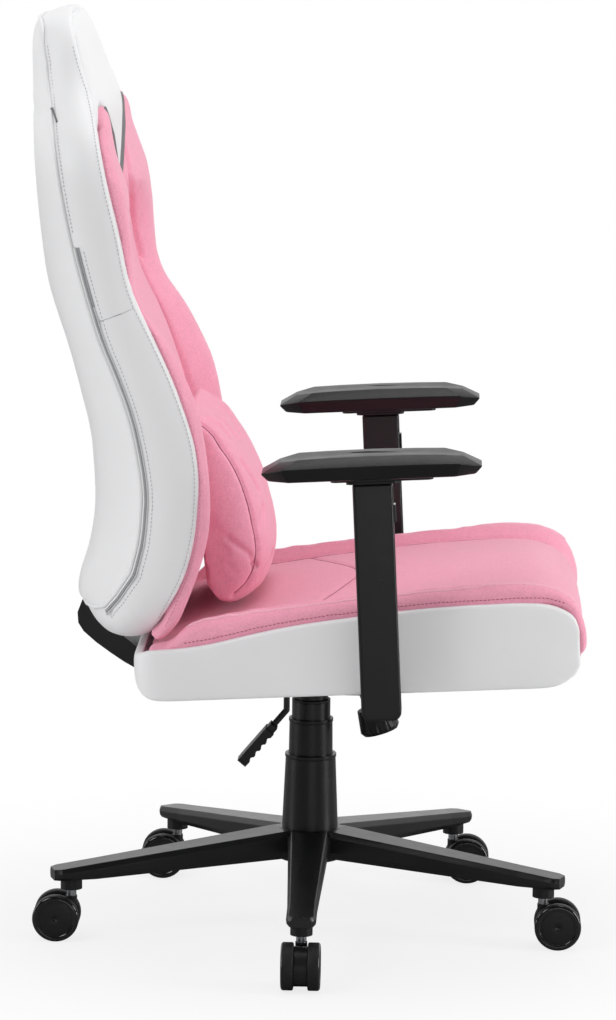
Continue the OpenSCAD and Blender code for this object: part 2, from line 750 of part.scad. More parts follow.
// Hollow upright with a round-cornered foot, slotted for the bracket
module arm_sleeve(s) {
    r = 10;
    half = arm_w / 2;
    color("#2c2c2e") arm_side(s) difference() {
        union() {
            translate([0, arm_y, 0]) {
                translate([-half, -arm_t / 2, r - sleeve_foot])
                    cube([arm_w, arm_t, arm_h + sleeve_foot - r]);
                translate([-half + r, -arm_t / 2, -sleeve_foot]) cube([arm_w - 2 * r, arm_t, 2 * r]);
                for (x = [-1, 1]) translate([x * (half - r), 0, r - sleeve_foot]) along_y(2 * r, arm_t);
            }
        }
        translate([0, arm_y, 95]) translate([-half + sleeve_wall, -arm_t / 2 + sleeve_wall, 0])
            cube([arm_w - 2 * sleeve_wall, arm_t - 2 * sleeve_wall, arm_h]);
        rotate([90, 0, 90]) linear_extrude(height = bracket_l + 2 * run_gap, center = true)
            bracket_profile(run_gap);
        translate([half - sleeve_wall - 1, arm_y - 7.2, arm_h - 50.2]) cube([sleeve_wall + 2, 14.4, 22.4]);
    }
}

// Inner post with a locking groove, a top flange and the slide's headed stud
module arm_post(s) {
    w = arm_w - 2 * sleeve_wall - 2 * post_gap;
    t = arm_t - 2 * sleeve_wall - 2 * post_gap;
    bottom = 100;
    color("#3a3a3c") arm_side(s) translate([0, arm_y, 0]) difference() {
        union() {
            translate([-w / 2, -t / 2, bottom]) cube([w, t, arm_h - bottom + 1]);
            translate([0, 0, arm_h + face_gap]) rounded_plate(64, 44, 8, flange_t);
            translate([0, 0, arm_h]) cylinder(d = stud_d, h = flange_t + slide_t);
            translate([0, 0, arm_h + flange_t + slide_t - 1.4]) cylinder(d = stud_d + 6, h = 1.4);
        }
        translate([w / 2 - 2.6, -8, bottom - 1]) cube([3.6, 16, arm_h - bottom - 3]);
    }
}

// Plate that slides fore and aft on the stud and carries the pad's pivot
module arm_slide(s) {
    top = slide_t;
    color("#303032") arm_side(s) translate([0, arm_y, arm_h + flange_t + 2 * face_gap - 0.1]) difference() {
        union() {
            translate([12, 0, 0]) rounded_plate(126, 44, 8, slide_t);
            translate([pivot_ahead, 0, 0]) cylinder(d = pivot_pin_d, h = slide_t + 10);
        }
        slot(stud_d + 0.4, slide_range, -1, slide_t + 2);
        slot(stud_d + 7, slide_range, top - 2.2, 3);
    }
}

module slot(d, reach, z, h) {
    translate([-reach, -d / 2, z]) cube([2 * reach, d, h]);
    for (x = [-1, 1]) translate([x * reach, 0, z]) cylinder(d = d, h = h);
}

function pad_ring(l, half_w, z) =
    [for (k = [0:31]) let (a = k * 360 / 32, n = 0.32,
                           c = cos(a), q = sin(a),
                           x = sign(c) * pow(abs(c), n), y = sign(q) * pow(abs(q), n * 1.3))
        [l * x, half_w * y * (1 - 0.06 * x), z]];

// Soft pad with bevelled rim and a crowned top
module arm_pad(s) {
    l = pad_l / 2;
    w = pad_w / 2;
    z0 = pad_floor;
    color("#232324") arm_side(s) translate([0, arm_y, 0]) difference() {
        loft([pad_ring(l - 9, w - 6, z0), pad_ring(l - 7, w - 4, z0 + 2),
              pad_ring(l - 0.5, w - 0.5, z0 + pad_h * 0.5), pad_ring(l, w, z0 + pad_h * 0.56),
              pad_ring(l - 2, w - 1.5, z0 + pad_h * 0.62), pad_ring(l - 26, w - 15, z0 + pad_h * 0.93),
              pad_ring(l - 60, w - 30, z0 + pad_h)]);
        translate([pivot_ahead, 0, z0 - 1]) cylinder(d = pivot_pin_d + 2 * run_gap, h = 12);
    }
}

module arm_button(s) {
    color("#111112") arm_side(s)
        translate([arm_w / 2 - 4.2, arm_y - 7, arm_h - 50]) cube([6.7, 14, 22]);
}

// ---------------------------------------------------------------- backrest

// Curves of the back by height above the floor, for the given height of the back
function up(h) = back_z + h * back_h / 793;
rear_curve = [for (p = [[0, -243], [5, -264], [13, -279], [28, -286], [40, -294], [50, -302], [62, -298],
                        [80, -290], [122, -280], [159, -276], [205, -278], [250, -282], [299, -294],
                        [362, -311], [422, -331], [453, -339], [519, -347], [573, -352], [620, -355],
                        [670, -357], [728, -359], [758, -359], [776, -350], [788, -334], [793, -316]])
              [up(p[0]), p[1]]];
seam_curve = [for (p = [[0, -232], [38, -238], [56, -232], [102, -220], [134, -212], [165, -209],
                        [198, -208], [244, -215], [293, -227], [341, -245], [383, -263], [437, -280],
                        [503, -297], [660, -326], [760, -338], [793, -318]]) [up(p[0]), p[1]]];
edge_front = [for (p = [[0, -205], [3, -192], [14, -177], [28, -165], [49, -156], [92, -140], [134, -128],
                        [168, -124], [205, -125], [246, -130], [290, -139], [320, -150], [361, -170],
                        [388, -185], [415, -201], [449, -214], [491, -220], [526, -223], [569, -229],
                        [600, -240], [641, -252], [692, -256], [713, -263], [736, -271], [756, -280],
                        [774, -288], [793, -306]]) [up(p[0]), p[1]]];
centre_front = [for (p = [[0, -212], [14, -196], [40, -186], [90, -172], [150, -167], [190, -166.3],
                          [230, -168], [290, -180], [340, -196], [390, -216], [430, -236], [470, -248],
                          [530, -255], [591, -257], [650, -258], [692, -260], [713, -264], [736, -271],
                          [756, -280], [774, -288], [784, -296], [793, -308]]) [up(p[0]), p[1]]];
half_curve = [for (p = [[0, 0.90], [14, 0.94], [40, 0.97], [100, 1], [200, 1], [300, 0.985], [380, 0.96],
                        [440, 0.955], [500, 0.975], [550, 1], [590, 0.985], [625, 0.92], [655, 0.8],
                        [690, 0.65], [730, 0.58], [770, 0.53], [786, 0.48], [793, 0.42]])
              [up(p[0]), p[1] * back_half_w]];
frame_rear = [for (p = [[14, -262], [40, -262], [90, -257], [170, -248], [205, -248], [250, -253],
                        [299, -264], [362, -281], [422, -301], [453, -309], [519, -317], [620, -325],
                        [728, -326], [760, -322]]) [up(p[0]), p[1]]];

back_levels = [for (h = [0, 5, 14, 28, 40, 50, 62, 80, 100, 122, 140, 159, 182, 205, 227, 250, 275, 299,
                         320, 340, 355, 370, 385, 400, 415, 430, 445, 460, 485, 510, 535, 560, 580, 600,
                         620, 640, 655, 670, 700, 730, 755, 772, 784, 793]) up(h)];
frame_levels = [for (z = back_levels) if (z >= up(13) && z <= up(756)) z];

// Half of the back's outer section at height z: from the rear centre round the side
function back_outer(z) =
    let (w = curve(z, half_curve), r = curve(z, rear_curve), s = curve(z, seam_curve),
         f = curve(z, edge_front), d = mix(f, s, 0.12))
    [[r, 0], [mix(r, s, 0.04), w * 0.33], [mix(r, s, 0.22), w * 0.6], [mix(r, s, 0.6), w * 0.82],
     [s, w * 0.95], [mix(s, d, 0.5), w], [d, w * 0.995]];
function frame_half(z) = min(curve(z, half_curve) * 0.66, back_half_w * 0.62);

// Half width of the centre cushion, which fills the shell above the bolsters
wall_side = 16;
function centre_half(z) =
    let (w = curve(z, half_curve) - wall_side)
    z > up(640) ? w - mix(12, 1, min(1, (z - up(640)) / 15))
    : z > up(600) ? mix(frame_half(z), w - 12, (z - up(600)) / 40)
    : frame_half(z);

// Rear wall's inner face of the shell at height z
function shell_front(z) =
    let (o = back_outer(z), fr = curve(max(z, up(14)), frame_rear))
    max(o[0][0] + 5, min(fr - face_gap, o[6][0] - 14));

function shell_ring(z) =
    let (o = back_outer(z), w = curve(z, half_curve), fh = frame_half(z), s = o[4][0],
         fx = shell_front(z),
         inner = [[mix(o[6][0], s, 0.05), w - wall_side], [mix(s, o[6][0], 0.45), w - wall_side],
                  [max(s + 4, fx), w - wall_side - 7], [max(mix(fx, s, 0.5), fx), fh + 8],
                  [fx, fh + 2], [fx, fh * 0.5], [fx, 0]])
    concat([for (i = [0:len(inner) - 2]) [inner[i][0], -inner[i][1], z]],
           [[fx, 0, z]],
           [for (i = [len(inner) - 2:-1:0]) [inner[i][0], inner[i][1], z]],
           [for (i = [6:-1:0]) [o[i][0], o[i][1], z]],
           [for (i = [1:6]) [o[i][0], -o[i][1], z]]);

module back_shell() {
    slot_w = bar_w + 2 * 2;
    color("#f2f2f2") difference() {
        loft([for (z = back_levels) if (z <= up(784)) shell_ring(z)], wall = true);
        side_plate([[-330, back_z - 10], [-225, back_z - 10], [-225, up(176)], [-264, up(176)],
                    [-277, up(47)], [-330, up(45)]], slot_w);
    }
}

module back_frame() {
    color("#8c6f4a") loft([for (z = frame_levels) let (x = curve(z, frame_rear), h = frame_half(z))
        [[x, -h, z], [x + frame_t, -h, z], [x + frame_t, h, z], [x, h, z]]]);
}

// Centre of the back with the head cushion above it
module back_cushion() {
    color("#f4afc4") loft([for (z = back_levels)
        let (f = curve(z, centre_front), w = curve(z, half_curve),
             b = max(min(curve(max(z, up(14)), frame_rear) + frame_t + face_gap, f - 6),
                     shell_front(z) + 2 * face_gap),
             h = centre_half(z))
        [[b, -h + 6, z], [mix(b, f, 0.5), -h, z], [f - 4, -h, z], [f, -h + 16, z],
         [f + 1, -h * 0.5, z], [f + 1, h * 0.5, z], [f, h - 16, z], [f - 4, h, z],
         [mix(b, f, 0.5), h, z], [b, h - 6, z]]]);
}

// Inner face of the shell's rear wall at height z, y from the middle
function wall_x(z, y) =
    let (w = curve(z, half_curve), s = curve(z, seam_curve), fh = frame_half(z), fx = shell_front(z))
    lookup(y, [[fh + 2, fx], [fh + 8, max(mix(fx, s, 0.5), fx)], [w - wall_side - 7, max(s + 4, fx)]]);

// Bolster between the centre cushion and the shell's side wall, left side
function bolster_ring(z) =
    let (w = curve(z, half_curve), f = curve(z, edge_front), c = curve(z, centre_front),
         s = curve(z, seam_curve), d = mix(f, s, 0.12),
         h = centre_half(z) + face_gap, y1 = max(h, frame_half(z) + 3),
         y2 = max(h + 2, frame_half(z) + 10))
    [[wall_x(z, y1) + 2, y1, z], [c - 4, h, z], [mix(c, f, 0.45), mix(h, w, 0.25), z],
     [mix(c, f, 0.85), mix(h, w, 0.5), z], [f, mix(h, w, 0.72), z], [f - 1, mix(h, w, 0.9), z],
     [d + 0.8, w * 0.985, z], [d + 0.8, w - wall_side - 2, z],
     [mix(s, d, 0.45) + 1.5, w - wall_side - 2, z],
     [wall_x(z, w - wall_side - 7) + 2, w - wall_side - 9.5, z], [wall_x(z, y2) + 2, y2, z]];

module back_bolster(s) {
    color("#f4afc4") mirror([0, s > 0 ? 0 : 1, 0])
        loft([for (z = back_levels) if (z >= up(5) && z <= up(641)) bolster_ring(z)]);
}

// Curved bar from the back's pivot under the seat up to the frame, as one plate
module back_bar() {
    px = -back_pivot_x;
    pz = back_pivot_z;
    tongue = [for (z = frame_levels) if (z >= up(40) && z <= up(170))
        [curve(z, frame_rear) - face_gap, z]];
    last = tongue[len(tongue) - 1];
    tongue_t = 10;
    top = [[px - 5, pz + 9.5], [-150, 344], [-190, 350], [-212, 362], [-232, 379], [-252, 395],
           [-265, 406], [-270, 420]];
    under = [[last[0] - tongue_t, last[1]], [tongue[0][0] - tongue_t, tongue[0][1] + 3], [-283, 447],
             [-296, 434], [-302, 418], [-301, 404], [-294, 393], [-278, 379], [-260, 366], [-242, 354],
             [-224, 344], [-208, 335], [-186, 326], [-150, 319], [px - 5, pz - 9.5]];
    color("#1d1d1e") difference() {
        union() {
            side_plate(concat(top, tongue, under), bar_w);
            translate([px, 0, pz]) along_y(20, bar_w);
        }
        translate([px, 0, pz]) along_y(pivot_d + 2 * run_gap, bar_w + 2);
    }
}

// Loose cushion at the small of the back, resting against the centre cushion
lumbar_rear = curve(up(190), centre_front) + 1 + face_gap;
lumbar_mid = up(178);
lumbar_profile = [[0, -83], [0, 102], [4, 128], [14, 140], [30, 134], [56, 112], [81, 78], [99, 42],
                  [112, 2], [118, -38], [116, -73], [108, -101], [94, -126], [74, -140], [51, -138],
                  [28, -122], [8, -100]];

module lumbar_cushion() {
    color("#f4afc4") translate([lumbar_rear + 0.1, 0, lumbar_mid]) loft([
        for (q = [-1, -0.97, -0.9, -0.75, -0.45, 0, 0.45, 0.75, 0.9, 0.97, 1])
            let (k = sqrt(max(0.14, 1 - pow(abs(q), 3.2))))
            [for (p = lumbar_profile) [p[0] * k, q * lumbar_w / 2, p[1] * mix(0.84, 1, k)]]]);
}

// ---------------------------------------------------------------- nodes

star_base();
leg_end_sockets();
stand_tube();
guide_bush();
thrust_bearing();
lower_cover();
middle_cover();
piston_rod();
retaining_clip();
caster_hood(0);  // caster_1_hood
caster_stem(0);  // caster_1_stem
caster_wheels(0);  // caster_1_wheels
caster_axle(0);  // caster_1_axle
caster_hood(1);  // caster_2_hood
caster_stem(1);  // caster_2_stem
caster_wheels(1);  // caster_2_wheels
caster_axle(1);  // caster_2_axle
caster_hood(2);  // caster_3_hood
caster_stem(2);  // caster_3_stem
caster_wheels(2);  // caster_3_wheels
caster_axle(2);  // caster_3_axle
caster_hood(3);  // caster_4_hood
caster_stem(3);  // caster_4_stem
caster_wheels(3);  // caster_4_wheels
caster_axle(3);  // caster_4_axle
caster_hood(4);  // caster_5_hood
caster_stem(4);  // caster_5_stem
caster_wheels(4);  // caster_5_wheels
caster_axle(4);  // caster_5_axle
gas_cylinder();
tilt_housing();
pivot_pins();
tilt_spring();
lever_rod();
lever_grip();
tension_knob();
seat_plate();
seat_pan();
seat_cushion();
seat_side_cover();
seat_bolts();
arm_bracket(1);  // arm_bracket_left
arm_sleeve(1);  // arm_sleeve_left
arm_post(1);  // arm_post_left
arm_slide(1);  // arm_slide_left
arm_pad(1);  // arm_pad_left
arm_button(1);  // arm_button_left
arm_bracket(-1);  // arm_bracket_right
arm_sleeve(-1);  // arm_sleeve_right
arm_post(-1);  // arm_post_right
arm_slide(-1);  // arm_slide_right
arm_pad(-1);  // arm_pad_right
arm_button(-1);  // arm_button_right
back_bar();
back_frame();
back_shell();
back_cushion();
back_bolster(1);  // back_bolster_left
back_bolster(-1);  // back_bolster_right
lumbar_cushion();
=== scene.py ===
"""Looks of the gaming chair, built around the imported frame.

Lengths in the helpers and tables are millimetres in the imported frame: +X the chair's
front, +Y the sitter's left, +Z up, origin on the floor under the swivel axis. Meshes,
camera, lamps and the sizes in materials are in metres.
"""

import itertools
import math

import bmesh
import bpy
import numpy as np
from mathutils import Matrix, Vector
from mathutils.bvhtree import BVHTree


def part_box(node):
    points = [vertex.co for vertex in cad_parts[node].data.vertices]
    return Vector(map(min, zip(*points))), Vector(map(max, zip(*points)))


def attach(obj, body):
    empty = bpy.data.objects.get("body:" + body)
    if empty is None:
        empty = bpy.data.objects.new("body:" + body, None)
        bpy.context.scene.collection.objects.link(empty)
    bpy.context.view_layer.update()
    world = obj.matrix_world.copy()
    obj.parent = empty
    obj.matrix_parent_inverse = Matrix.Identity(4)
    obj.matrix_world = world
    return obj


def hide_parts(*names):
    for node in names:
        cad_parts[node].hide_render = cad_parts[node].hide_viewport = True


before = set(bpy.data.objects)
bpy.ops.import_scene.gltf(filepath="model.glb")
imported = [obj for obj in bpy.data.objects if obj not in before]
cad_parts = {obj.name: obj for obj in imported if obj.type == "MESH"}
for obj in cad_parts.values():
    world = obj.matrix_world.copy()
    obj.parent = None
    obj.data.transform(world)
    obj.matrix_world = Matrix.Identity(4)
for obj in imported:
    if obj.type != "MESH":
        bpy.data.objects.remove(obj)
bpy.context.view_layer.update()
MM = 0.001
SIDES = ((-1, "right"), (1, "left"))
FABRIC, LEATHER = "pink_fabric", "white_leather"  # slots of the sewn pieces


# ---------- numbers


def mix(a, b, t):
    return a + (b - a) * t


def clamp(x, lo=0.0, hi=1.0):
    return max(lo, min(hi, x))


def ease(t):
    t = clamp(t)
    return t * t * (3 - 2 * t)


def curve(z, table):
    """Smooth value at z of a table of (z, value) rows."""
    if z <= table[0][0]:
        return table[0][1]
    if z >= table[-1][0]:
        return table[-1][1]
    i = max(k for k in range(len(table) - 1) if table[k][0] <= z)

    def slope(k):
        lo, hi = max(0, k - 1), min(len(table) - 1, k + 1)
        return (table[hi][1] - table[lo][1]) / (table[hi][0] - table[lo][0])

    h = table[i + 1][0] - table[i][0]
    s = (z - table[i][0]) / h
    a, b = slope(i) * h, slope(i + 1) * h
    return (
        (2 * s**3 - 3 * s**2 + 1) * table[i][1]
        + (s**3 - 2 * s**2 + s) * a
        + (3 * s**2 - 2 * s**3) * table[i + 1][1]
        + (s**3 - s**2) * b
    )


# ---------- materials


def add_node(nt, kind, inputs=None, **settings):
    """New shader node; an input is given its value, or the socket that feeds it."""
    node = nt.nodes.new("ShaderNode" + kind)
    for key, value in settings.items():
        setattr(node, key, value)
    for key, value in (inputs or {}).items():
        if isinstance(value, bpy.types.NodeSocket):
            nt.links.new(value, node.inputs[key])
        else:
            node.inputs[key].default_value = value
    return node


def new_material(name):
    mat = bpy.data.materials.new(name)
    mat.use_nodes = True
    return mat, mat.node_tree, mat.node_tree.nodes["Principled BSDF"]


def material(name, colour, rough, **opts):
    """Principled material with varied colour and roughness and a fine bump."""
    mat, nt, bsdf = new_material(name)
    own = {"Metallic": opts.get("metal", 0.0), "Specular IOR Level": opts.get("spec", 0.5)}
    if "sheen" in opts:
        own["Sheen Weight"] = opts["sheen"]
        own["Sheen Roughness"] = 0.45
        own["Sheen Tint"] = (*opts["sheen_tint"], 1)
    if "coat" in opts:
        own["Coat Weight"] = opts["coat"]
        own["Coat Roughness"] = opts["coat_rough"]
    for key, value in own.items():
        bsdf.inputs[key].default_value = value
    place = add_node(nt, "TexCoord").outputs["Object"]

    cloud = add_node(nt, "TexNoise", {"Vector": place, "Scale": opts.get("cloud", 14.0),
                                      "Detail": 5.0})
    ramp = add_node(nt, "ValToRGB", {"Fac": cloud.outputs["Fac"]})
    spread = opts["spread"]
    dark, light = ramp.color_ramp.elements
    dark.position, light.position = 0.3, 0.72
    dark.color = (*[c * (1 - spread) for c in colour], 1)
    light.color = (*[min(1.0, c * (1 + spread)) for c in colour], 1)
    tint = ramp.outputs["Color"]
    if "weave" in opts:
        tint, height = weave(nt, place, tint, opts["weave"])
    else:
        height = grain(nt, place, opts["grain"])
    nt.links.new(tint, bsdf.inputs["Base Color"])

    patches = add_node(nt, "TexNoise", {"Vector": place, "Scale": opts.get("rough_scale", 60.0),
                                        "Detail": 4.0})
    swing = opts.get("rough_spread", 0.06)
    varied = add_node(nt, "MapRange", {"Value": patches.outputs["Fac"], "To Min": rough - swing,
                                       "To Max": rough + swing})
    nt.links.new(varied.outputs["Result"], bsdf.inputs["Roughness"])

    bump = add_node(nt, "Bump", {"Strength": opts.get("bump", 0.2),
                                 "Distance": opts.get("depth", 0.0003), "Height": height})
    nt.links.new(bump.outputs["Normal"], bsdf.inputs["Normal"])
    if "round" in opts:
        edge = add_node(nt, "Bevel", {"Radius": opts["round"]}, samples=4)
        nt.links.new(edge.outputs["Normal"], bump.inputs["Normal"])
    return mat


WEAVE_RUNS = (  # stretch of the fibres' noise, turn in radians
    ((0.16, 1.0, 1.0), 0.0),
    ((1.0, 0.16, 0.7), 0.4),
    ((0.8, 0.9, 0.16), 0.2),
)


def weave(nt, place, tint, scale):
    """Crossed short fibres of a woven cloth, lighter on the threads' crowns."""
    height = None
    for stretch, angle in WEAVE_RUNS:
        turn = add_node(nt, "Mapping", {"Vector": place, "Rotation": (angle, angle * 0.5, angle),
                                        "Scale": stretch})
        noise = add_node(nt, "TexNoise", {"Vector": turn.outputs["Vector"], "Scale": scale,
                                          "Detail": 2.0})
        fibre = noise.outputs["Fac"]
        if height:
            fibre = add_node(nt, "Math", {0: height, 1: fibre}, operation="MAXIMUM").outputs[0]
        height = fibre
    shade = add_node(nt, "MapRange", {"Value": height, "From Min": 0.42, "From Max": 0.75,
                                      "To Min": 0.84, "To Max": 1.08})
    scaled = add_node(nt, "VectorMath", {0: tint, "Scale": shade.outputs["Result"]},
                      operation="SCALE")
    return scaled.outputs["Vector"], height


def grain(nt, place, scale):
    """Cells of leather or moulded grain."""
    cells = add_node(nt, "TexVoronoi", {"Vector": place, "Scale": scale}, feature="SMOOTH_F1")
    fine = add_node(nt, "TexNoise", {"Vector": place, "Scale": scale * 0.4, "Detail": 6.0})
    both = add_node(nt, "Math", {0: cells.outputs["Distance"], 1: fine.outputs["Fac"]},
                    operation="ADD")
    return both.outputs[0]


def thread(name, colour, rough):
    return material(name, colour, rough, grain=1500, spread=0.05)


MAT = {
    "pink": material("pink_fabric", (0.90, 0.375, 0.50), 0.9, weave=1100, spread=0.02, cloud=70,
                     sheen=0.35, sheen_tint=(1.0, 0.86, 0.9), bump=0.35, depth=0.0004, spec=0.25),
    "pink_thread": thread("pink_thread", (0.72, 0.27, 0.38), 0.8),
    "white": material("white_leatherette", (0.80, 0.80, 0.81), 0.42, grain=700, spread=0.012,
                      cloud=5, bump=0.12, depth=0.0002, spec=0.45, rough_scale=25),
    "white_thread": thread("white_thread", (0.50, 0.50, 0.52), 0.75),
    # lighter pink than the cloth: painted highlight for the cord along the seat bolsters' crests
    "pink_welt": material("pink_welt", (0.94, 0.47, 0.58), 0.9, weave=1100, spread=0.05, sheen=0.35,
                          sheen_tint=(1.0, 0.9, 0.93), bump=0.3, depth=0.0003, spec=0.25),
    # dark pink: painted shade for the seams' creases, laid in them as cords; also the thread of the
    # seat's edge stitches
    "pink_seam": thread("pink_seam", (0.42, 0.13, 0.20), 0.85),
    "grey_line": thread("grey_line", (0.36, 0.36, 0.38), 0.6),
    "grey_pipe": material("grey_piping", (0.56, 0.56, 0.58), 0.5, grain=900, spread=0.06,
                          bump=0.15),
    "seam_dark": material("dark_trim", (0.17, 0.165, 0.17), 0.6, grain=900, spread=0.1),
    "steel": material("coated_steel", (0.007, 0.007, 0.008), 0.30, grain=900, spread=0.15,
                      bump=0.12, depth=0.0001, round=0.0022, spec=0.6),
    "plastic": material("moulded_plastic", (0.006, 0.006, 0.007), 0.42, grain=1100, spread=0.15,
                        bump=0.2, depth=0.0002, round=0.0012),
    "cover": material("satin_cover", (0.006, 0.006, 0.0065), 0.3, grain=1100, spread=0.12,
                      bump=0.08, depth=0.0001, round=0.0015, spec=0.5),
    "pad": material("soft_pad", (0.007, 0.007, 0.0075), 0.36, grain=650, spread=0.12,
                    bump=0.3, depth=0.0003, spec=0.3),
    "gloss": material("glossy_rim", (0.006, 0.006, 0.007), 0.12, grain=500, spread=0.1,
                      bump=0.02, depth=0.0001, coat=0.6, coat_rough=0.06, rough_spread=0.03),
    "cap": material("wheel_cap", (0.006, 0.006, 0.0065), 0.42, grain=1200, spread=0.12, bump=0.2),
    "tread": material("wheel_tread", (0.007, 0.007, 0.0075), 0.6, grain=900, spread=0.15,
                      bump=0.25),
    "lining": material("black_lining", (0.02, 0.02, 0.022), 0.85, weave=900, spread=0.1, bump=0.3),
    "metal": material("plated_steel", (0.55, 0.56, 0.58), 0.28, grain=1200, spread=0.06,
                      metal=1.0, bump=0.06, depth=0.0001),
}


# ---------- meshes


def new_object(name, data):
    obj = bpy.data.objects.new(name, data)
    bpy.context.scene.collection.objects.link(obj)
    return obj


def shade_smooth(obj):
    obj.data.polygons.foreach_set("use_smooth", [True] * len(obj.data.polygons))


def mesh_object(name, verts, faces, mat, index=None):
    """Closed mesh from points in millimetres; index gives each face's material."""
    mesh = bpy.data.meshes.new(name)
    mesh.from_pydata([(v[0] * MM, v[1] * MM, v[2] * MM) for v in verts], [], faces)
    for m in [mat] if isinstance(mat, str) else mat:
        mesh.materials.append(MAT[m])
    if index:
        mesh.polygons.foreach_set("material_index", index)
    bm = bmesh.new()
    bm.from_mesh(mesh)
    bmesh.ops.recalc_face_normals(bm, faces=bm.faces)
    bm.to_mesh(mesh)
    bm.free()
    obj = new_object(name, mesh)
    shade_smooth(obj)
    return obj


def skin(m, n, closed=False, base=0):
    """Faces through m rings of n points; the ends are capped unless closed joins them."""
    def at(i, j):
        return base + i % m * n + j % n

    faces = [(at(i, j), at(i, j + 1), at(i + 1, j + 1), at(i + 1, j))
             for i in range(m if closed else m - 1) for j in range(n)]
    if not closed:
        faces += [tuple(at(i, j) for j in range(n)) for i in (0, m - 1)]
    return faces


def rings_object(name, rings, mat, closed=False, index=None):
    verts = [p for ring in rings for p in ring]
    return mesh_object(name, verts, skin(len(rings), len(rings[0]), closed), mat, index)


def add_modifier(obj, kind, **values):
    mod = obj.modifiers.new(kind.lower(), kind)
    for key, value in values.items():
        setattr(mod, key, value)
    return mod


def bake(obj):
    """Applies the modifiers of obj."""
    dg = bpy.context.evaluated_depsgraph_get()
    mesh = bpy.data.meshes.new_from_object(obj.evaluated_get(dg))
    obj.modifiers.clear()
    obj.data = mesh
    return obj


def bevel(obj, width, segments, angle):
    """Rounds the edges that turn by more than angle degrees."""
    add_modifier(obj, "BEVEL", width=width * MM, segments=segments, limit_method="ANGLE",
                 angle_limit=math.radians(angle))
    return bake(obj)


def subdivide(obj):
    add_modifier(obj, "SUBSURF", levels=1, render_levels=1)
    return bake(obj)


def join(name, parts):
    """One object from several, each keeping its materials."""
    bm = bmesh.new()
    slots = []
    for part in parts:
        bake(part)
        start = len(bm.faces)
        bm.from_mesh(part.data)
        bm.faces.ensure_lookup_table()
        names = [m.name for m in part.data.materials]
        for f in bm.faces[start:]:
            mat = names[f.material_index]
            if mat not in slots:
                slots.append(mat)
            f.material_index = slots.index(mat)
    mesh = bpy.data.meshes.new(name)
    bm.to_mesh(mesh)
    bm.free()
    for s in slots:
        mesh.materials.append(bpy.data.materials[s])
    for part in parts:
        bpy.data.objects.remove(part)
    return new_object(name, mesh)


def lengths(points):
    """Running length of a polyline at its points."""
    total = [0.0]
    for a, b in zip(points, points[1:]):
        total.append(total[-1] + (Vector(b) - Vector(a)).length)
    return total


def places(total, distances):
    """(point number, share of the way to the next) at growing distances along a polyline."""
    k = 0
    for d in distances:
        while k < len(total) - 2 and total[k + 1] < d:
            k += 1
        yield k, clamp((d - total[k]) / max(1e-6, total[k + 1] - total[k]))


def resample(points, pitch):
    """Points along a polyline, a pitch apart."""
    total = lengths(points)
    spans = max(1, int(round(total[-1] / pitch)))
    steps = [total[-1] * i / spans for i in range(spans + 1)]
    return [Vector(points[k]).lerp(Vector(points[k + 1]), t) for k, t in places(total, steps)]


def tube(name, points, r, mat, sides=8, closed=False, squash=1.0):
    """Round cord along points, with a frame that turns as little as possible."""
    pts = [Vector(p) for p in points]
    n = len(pts)
    rings, side = [], None
    for i in range(n):
        a = pts[(i - 1) % n] if closed else pts[max(0, i - 1)]
        b = pts[(i + 1) % n] if closed else pts[min(n - 1, i + 1)]
        d = (b - a).normalized()
        if side is None:
            side = d.orthogonal().normalized()
        side = (side - d * side.dot(d)).normalized()
        up = d.cross(side)
        turns = [k * math.tau / sides for k in range(sides)]
        rings.append([pts[i] + (side * math.cos(a) + up * squash * math.sin(a)) * r for a in turns])
    return rings_object(name, rings, mat, closed=closed)


STITCH, STITCH_GAP = 3.4, 1.8


def stitches(name, points, normals, mat, r=0.55):
    """Row of short threads that dip into the cloth at both ends."""
    total = lengths(points)
    pitch = STITCH + STITCH_GAP
    steps = [s * pitch + f * STITCH for s in range(int(total[-1] / pitch)) for f in (0.0, 0.5, 1.0)]
    laid = [(points[k].lerp(points[k + 1], t), normals[k].lerp(normals[k + 1], t).normalized())
            for k, t in places(total, steps)]
    verts, faces = [], []
    sides = 6
    for s in range(0, len(laid), 3):
        ends = laid[s:s + 3]
        along = (ends[2][0] - ends[0][0]).normalized()
        base = len(verts)
        for (p, n), lift, rad in zip(ends, (-0.35, 0.45, -0.35), (0.5, 1.0, 0.5)):
            side = along.cross(n).normalized()
            c = p + n * lift * r
            for q in range(sides):
                a = q * math.tau / sides
                verts.append(c + (side * math.cos(a) + n * math.sin(a)) * r * rad)
        faces += skin(3, sides, base=base)
    return mesh_object(name, verts, faces, mat)


def cuts(length, border, count):
    """Shares of a row's length: close together near its two ends, even between."""
    edge = [b for b in border if b < length * 0.3]
    inner = [mix(edge[-1], length - edge[-1], i / (count + 1)) for i in range(1, count + 1)]
    return [d / length for d in edge + inner + [length - b for b in reversed(edge)]]


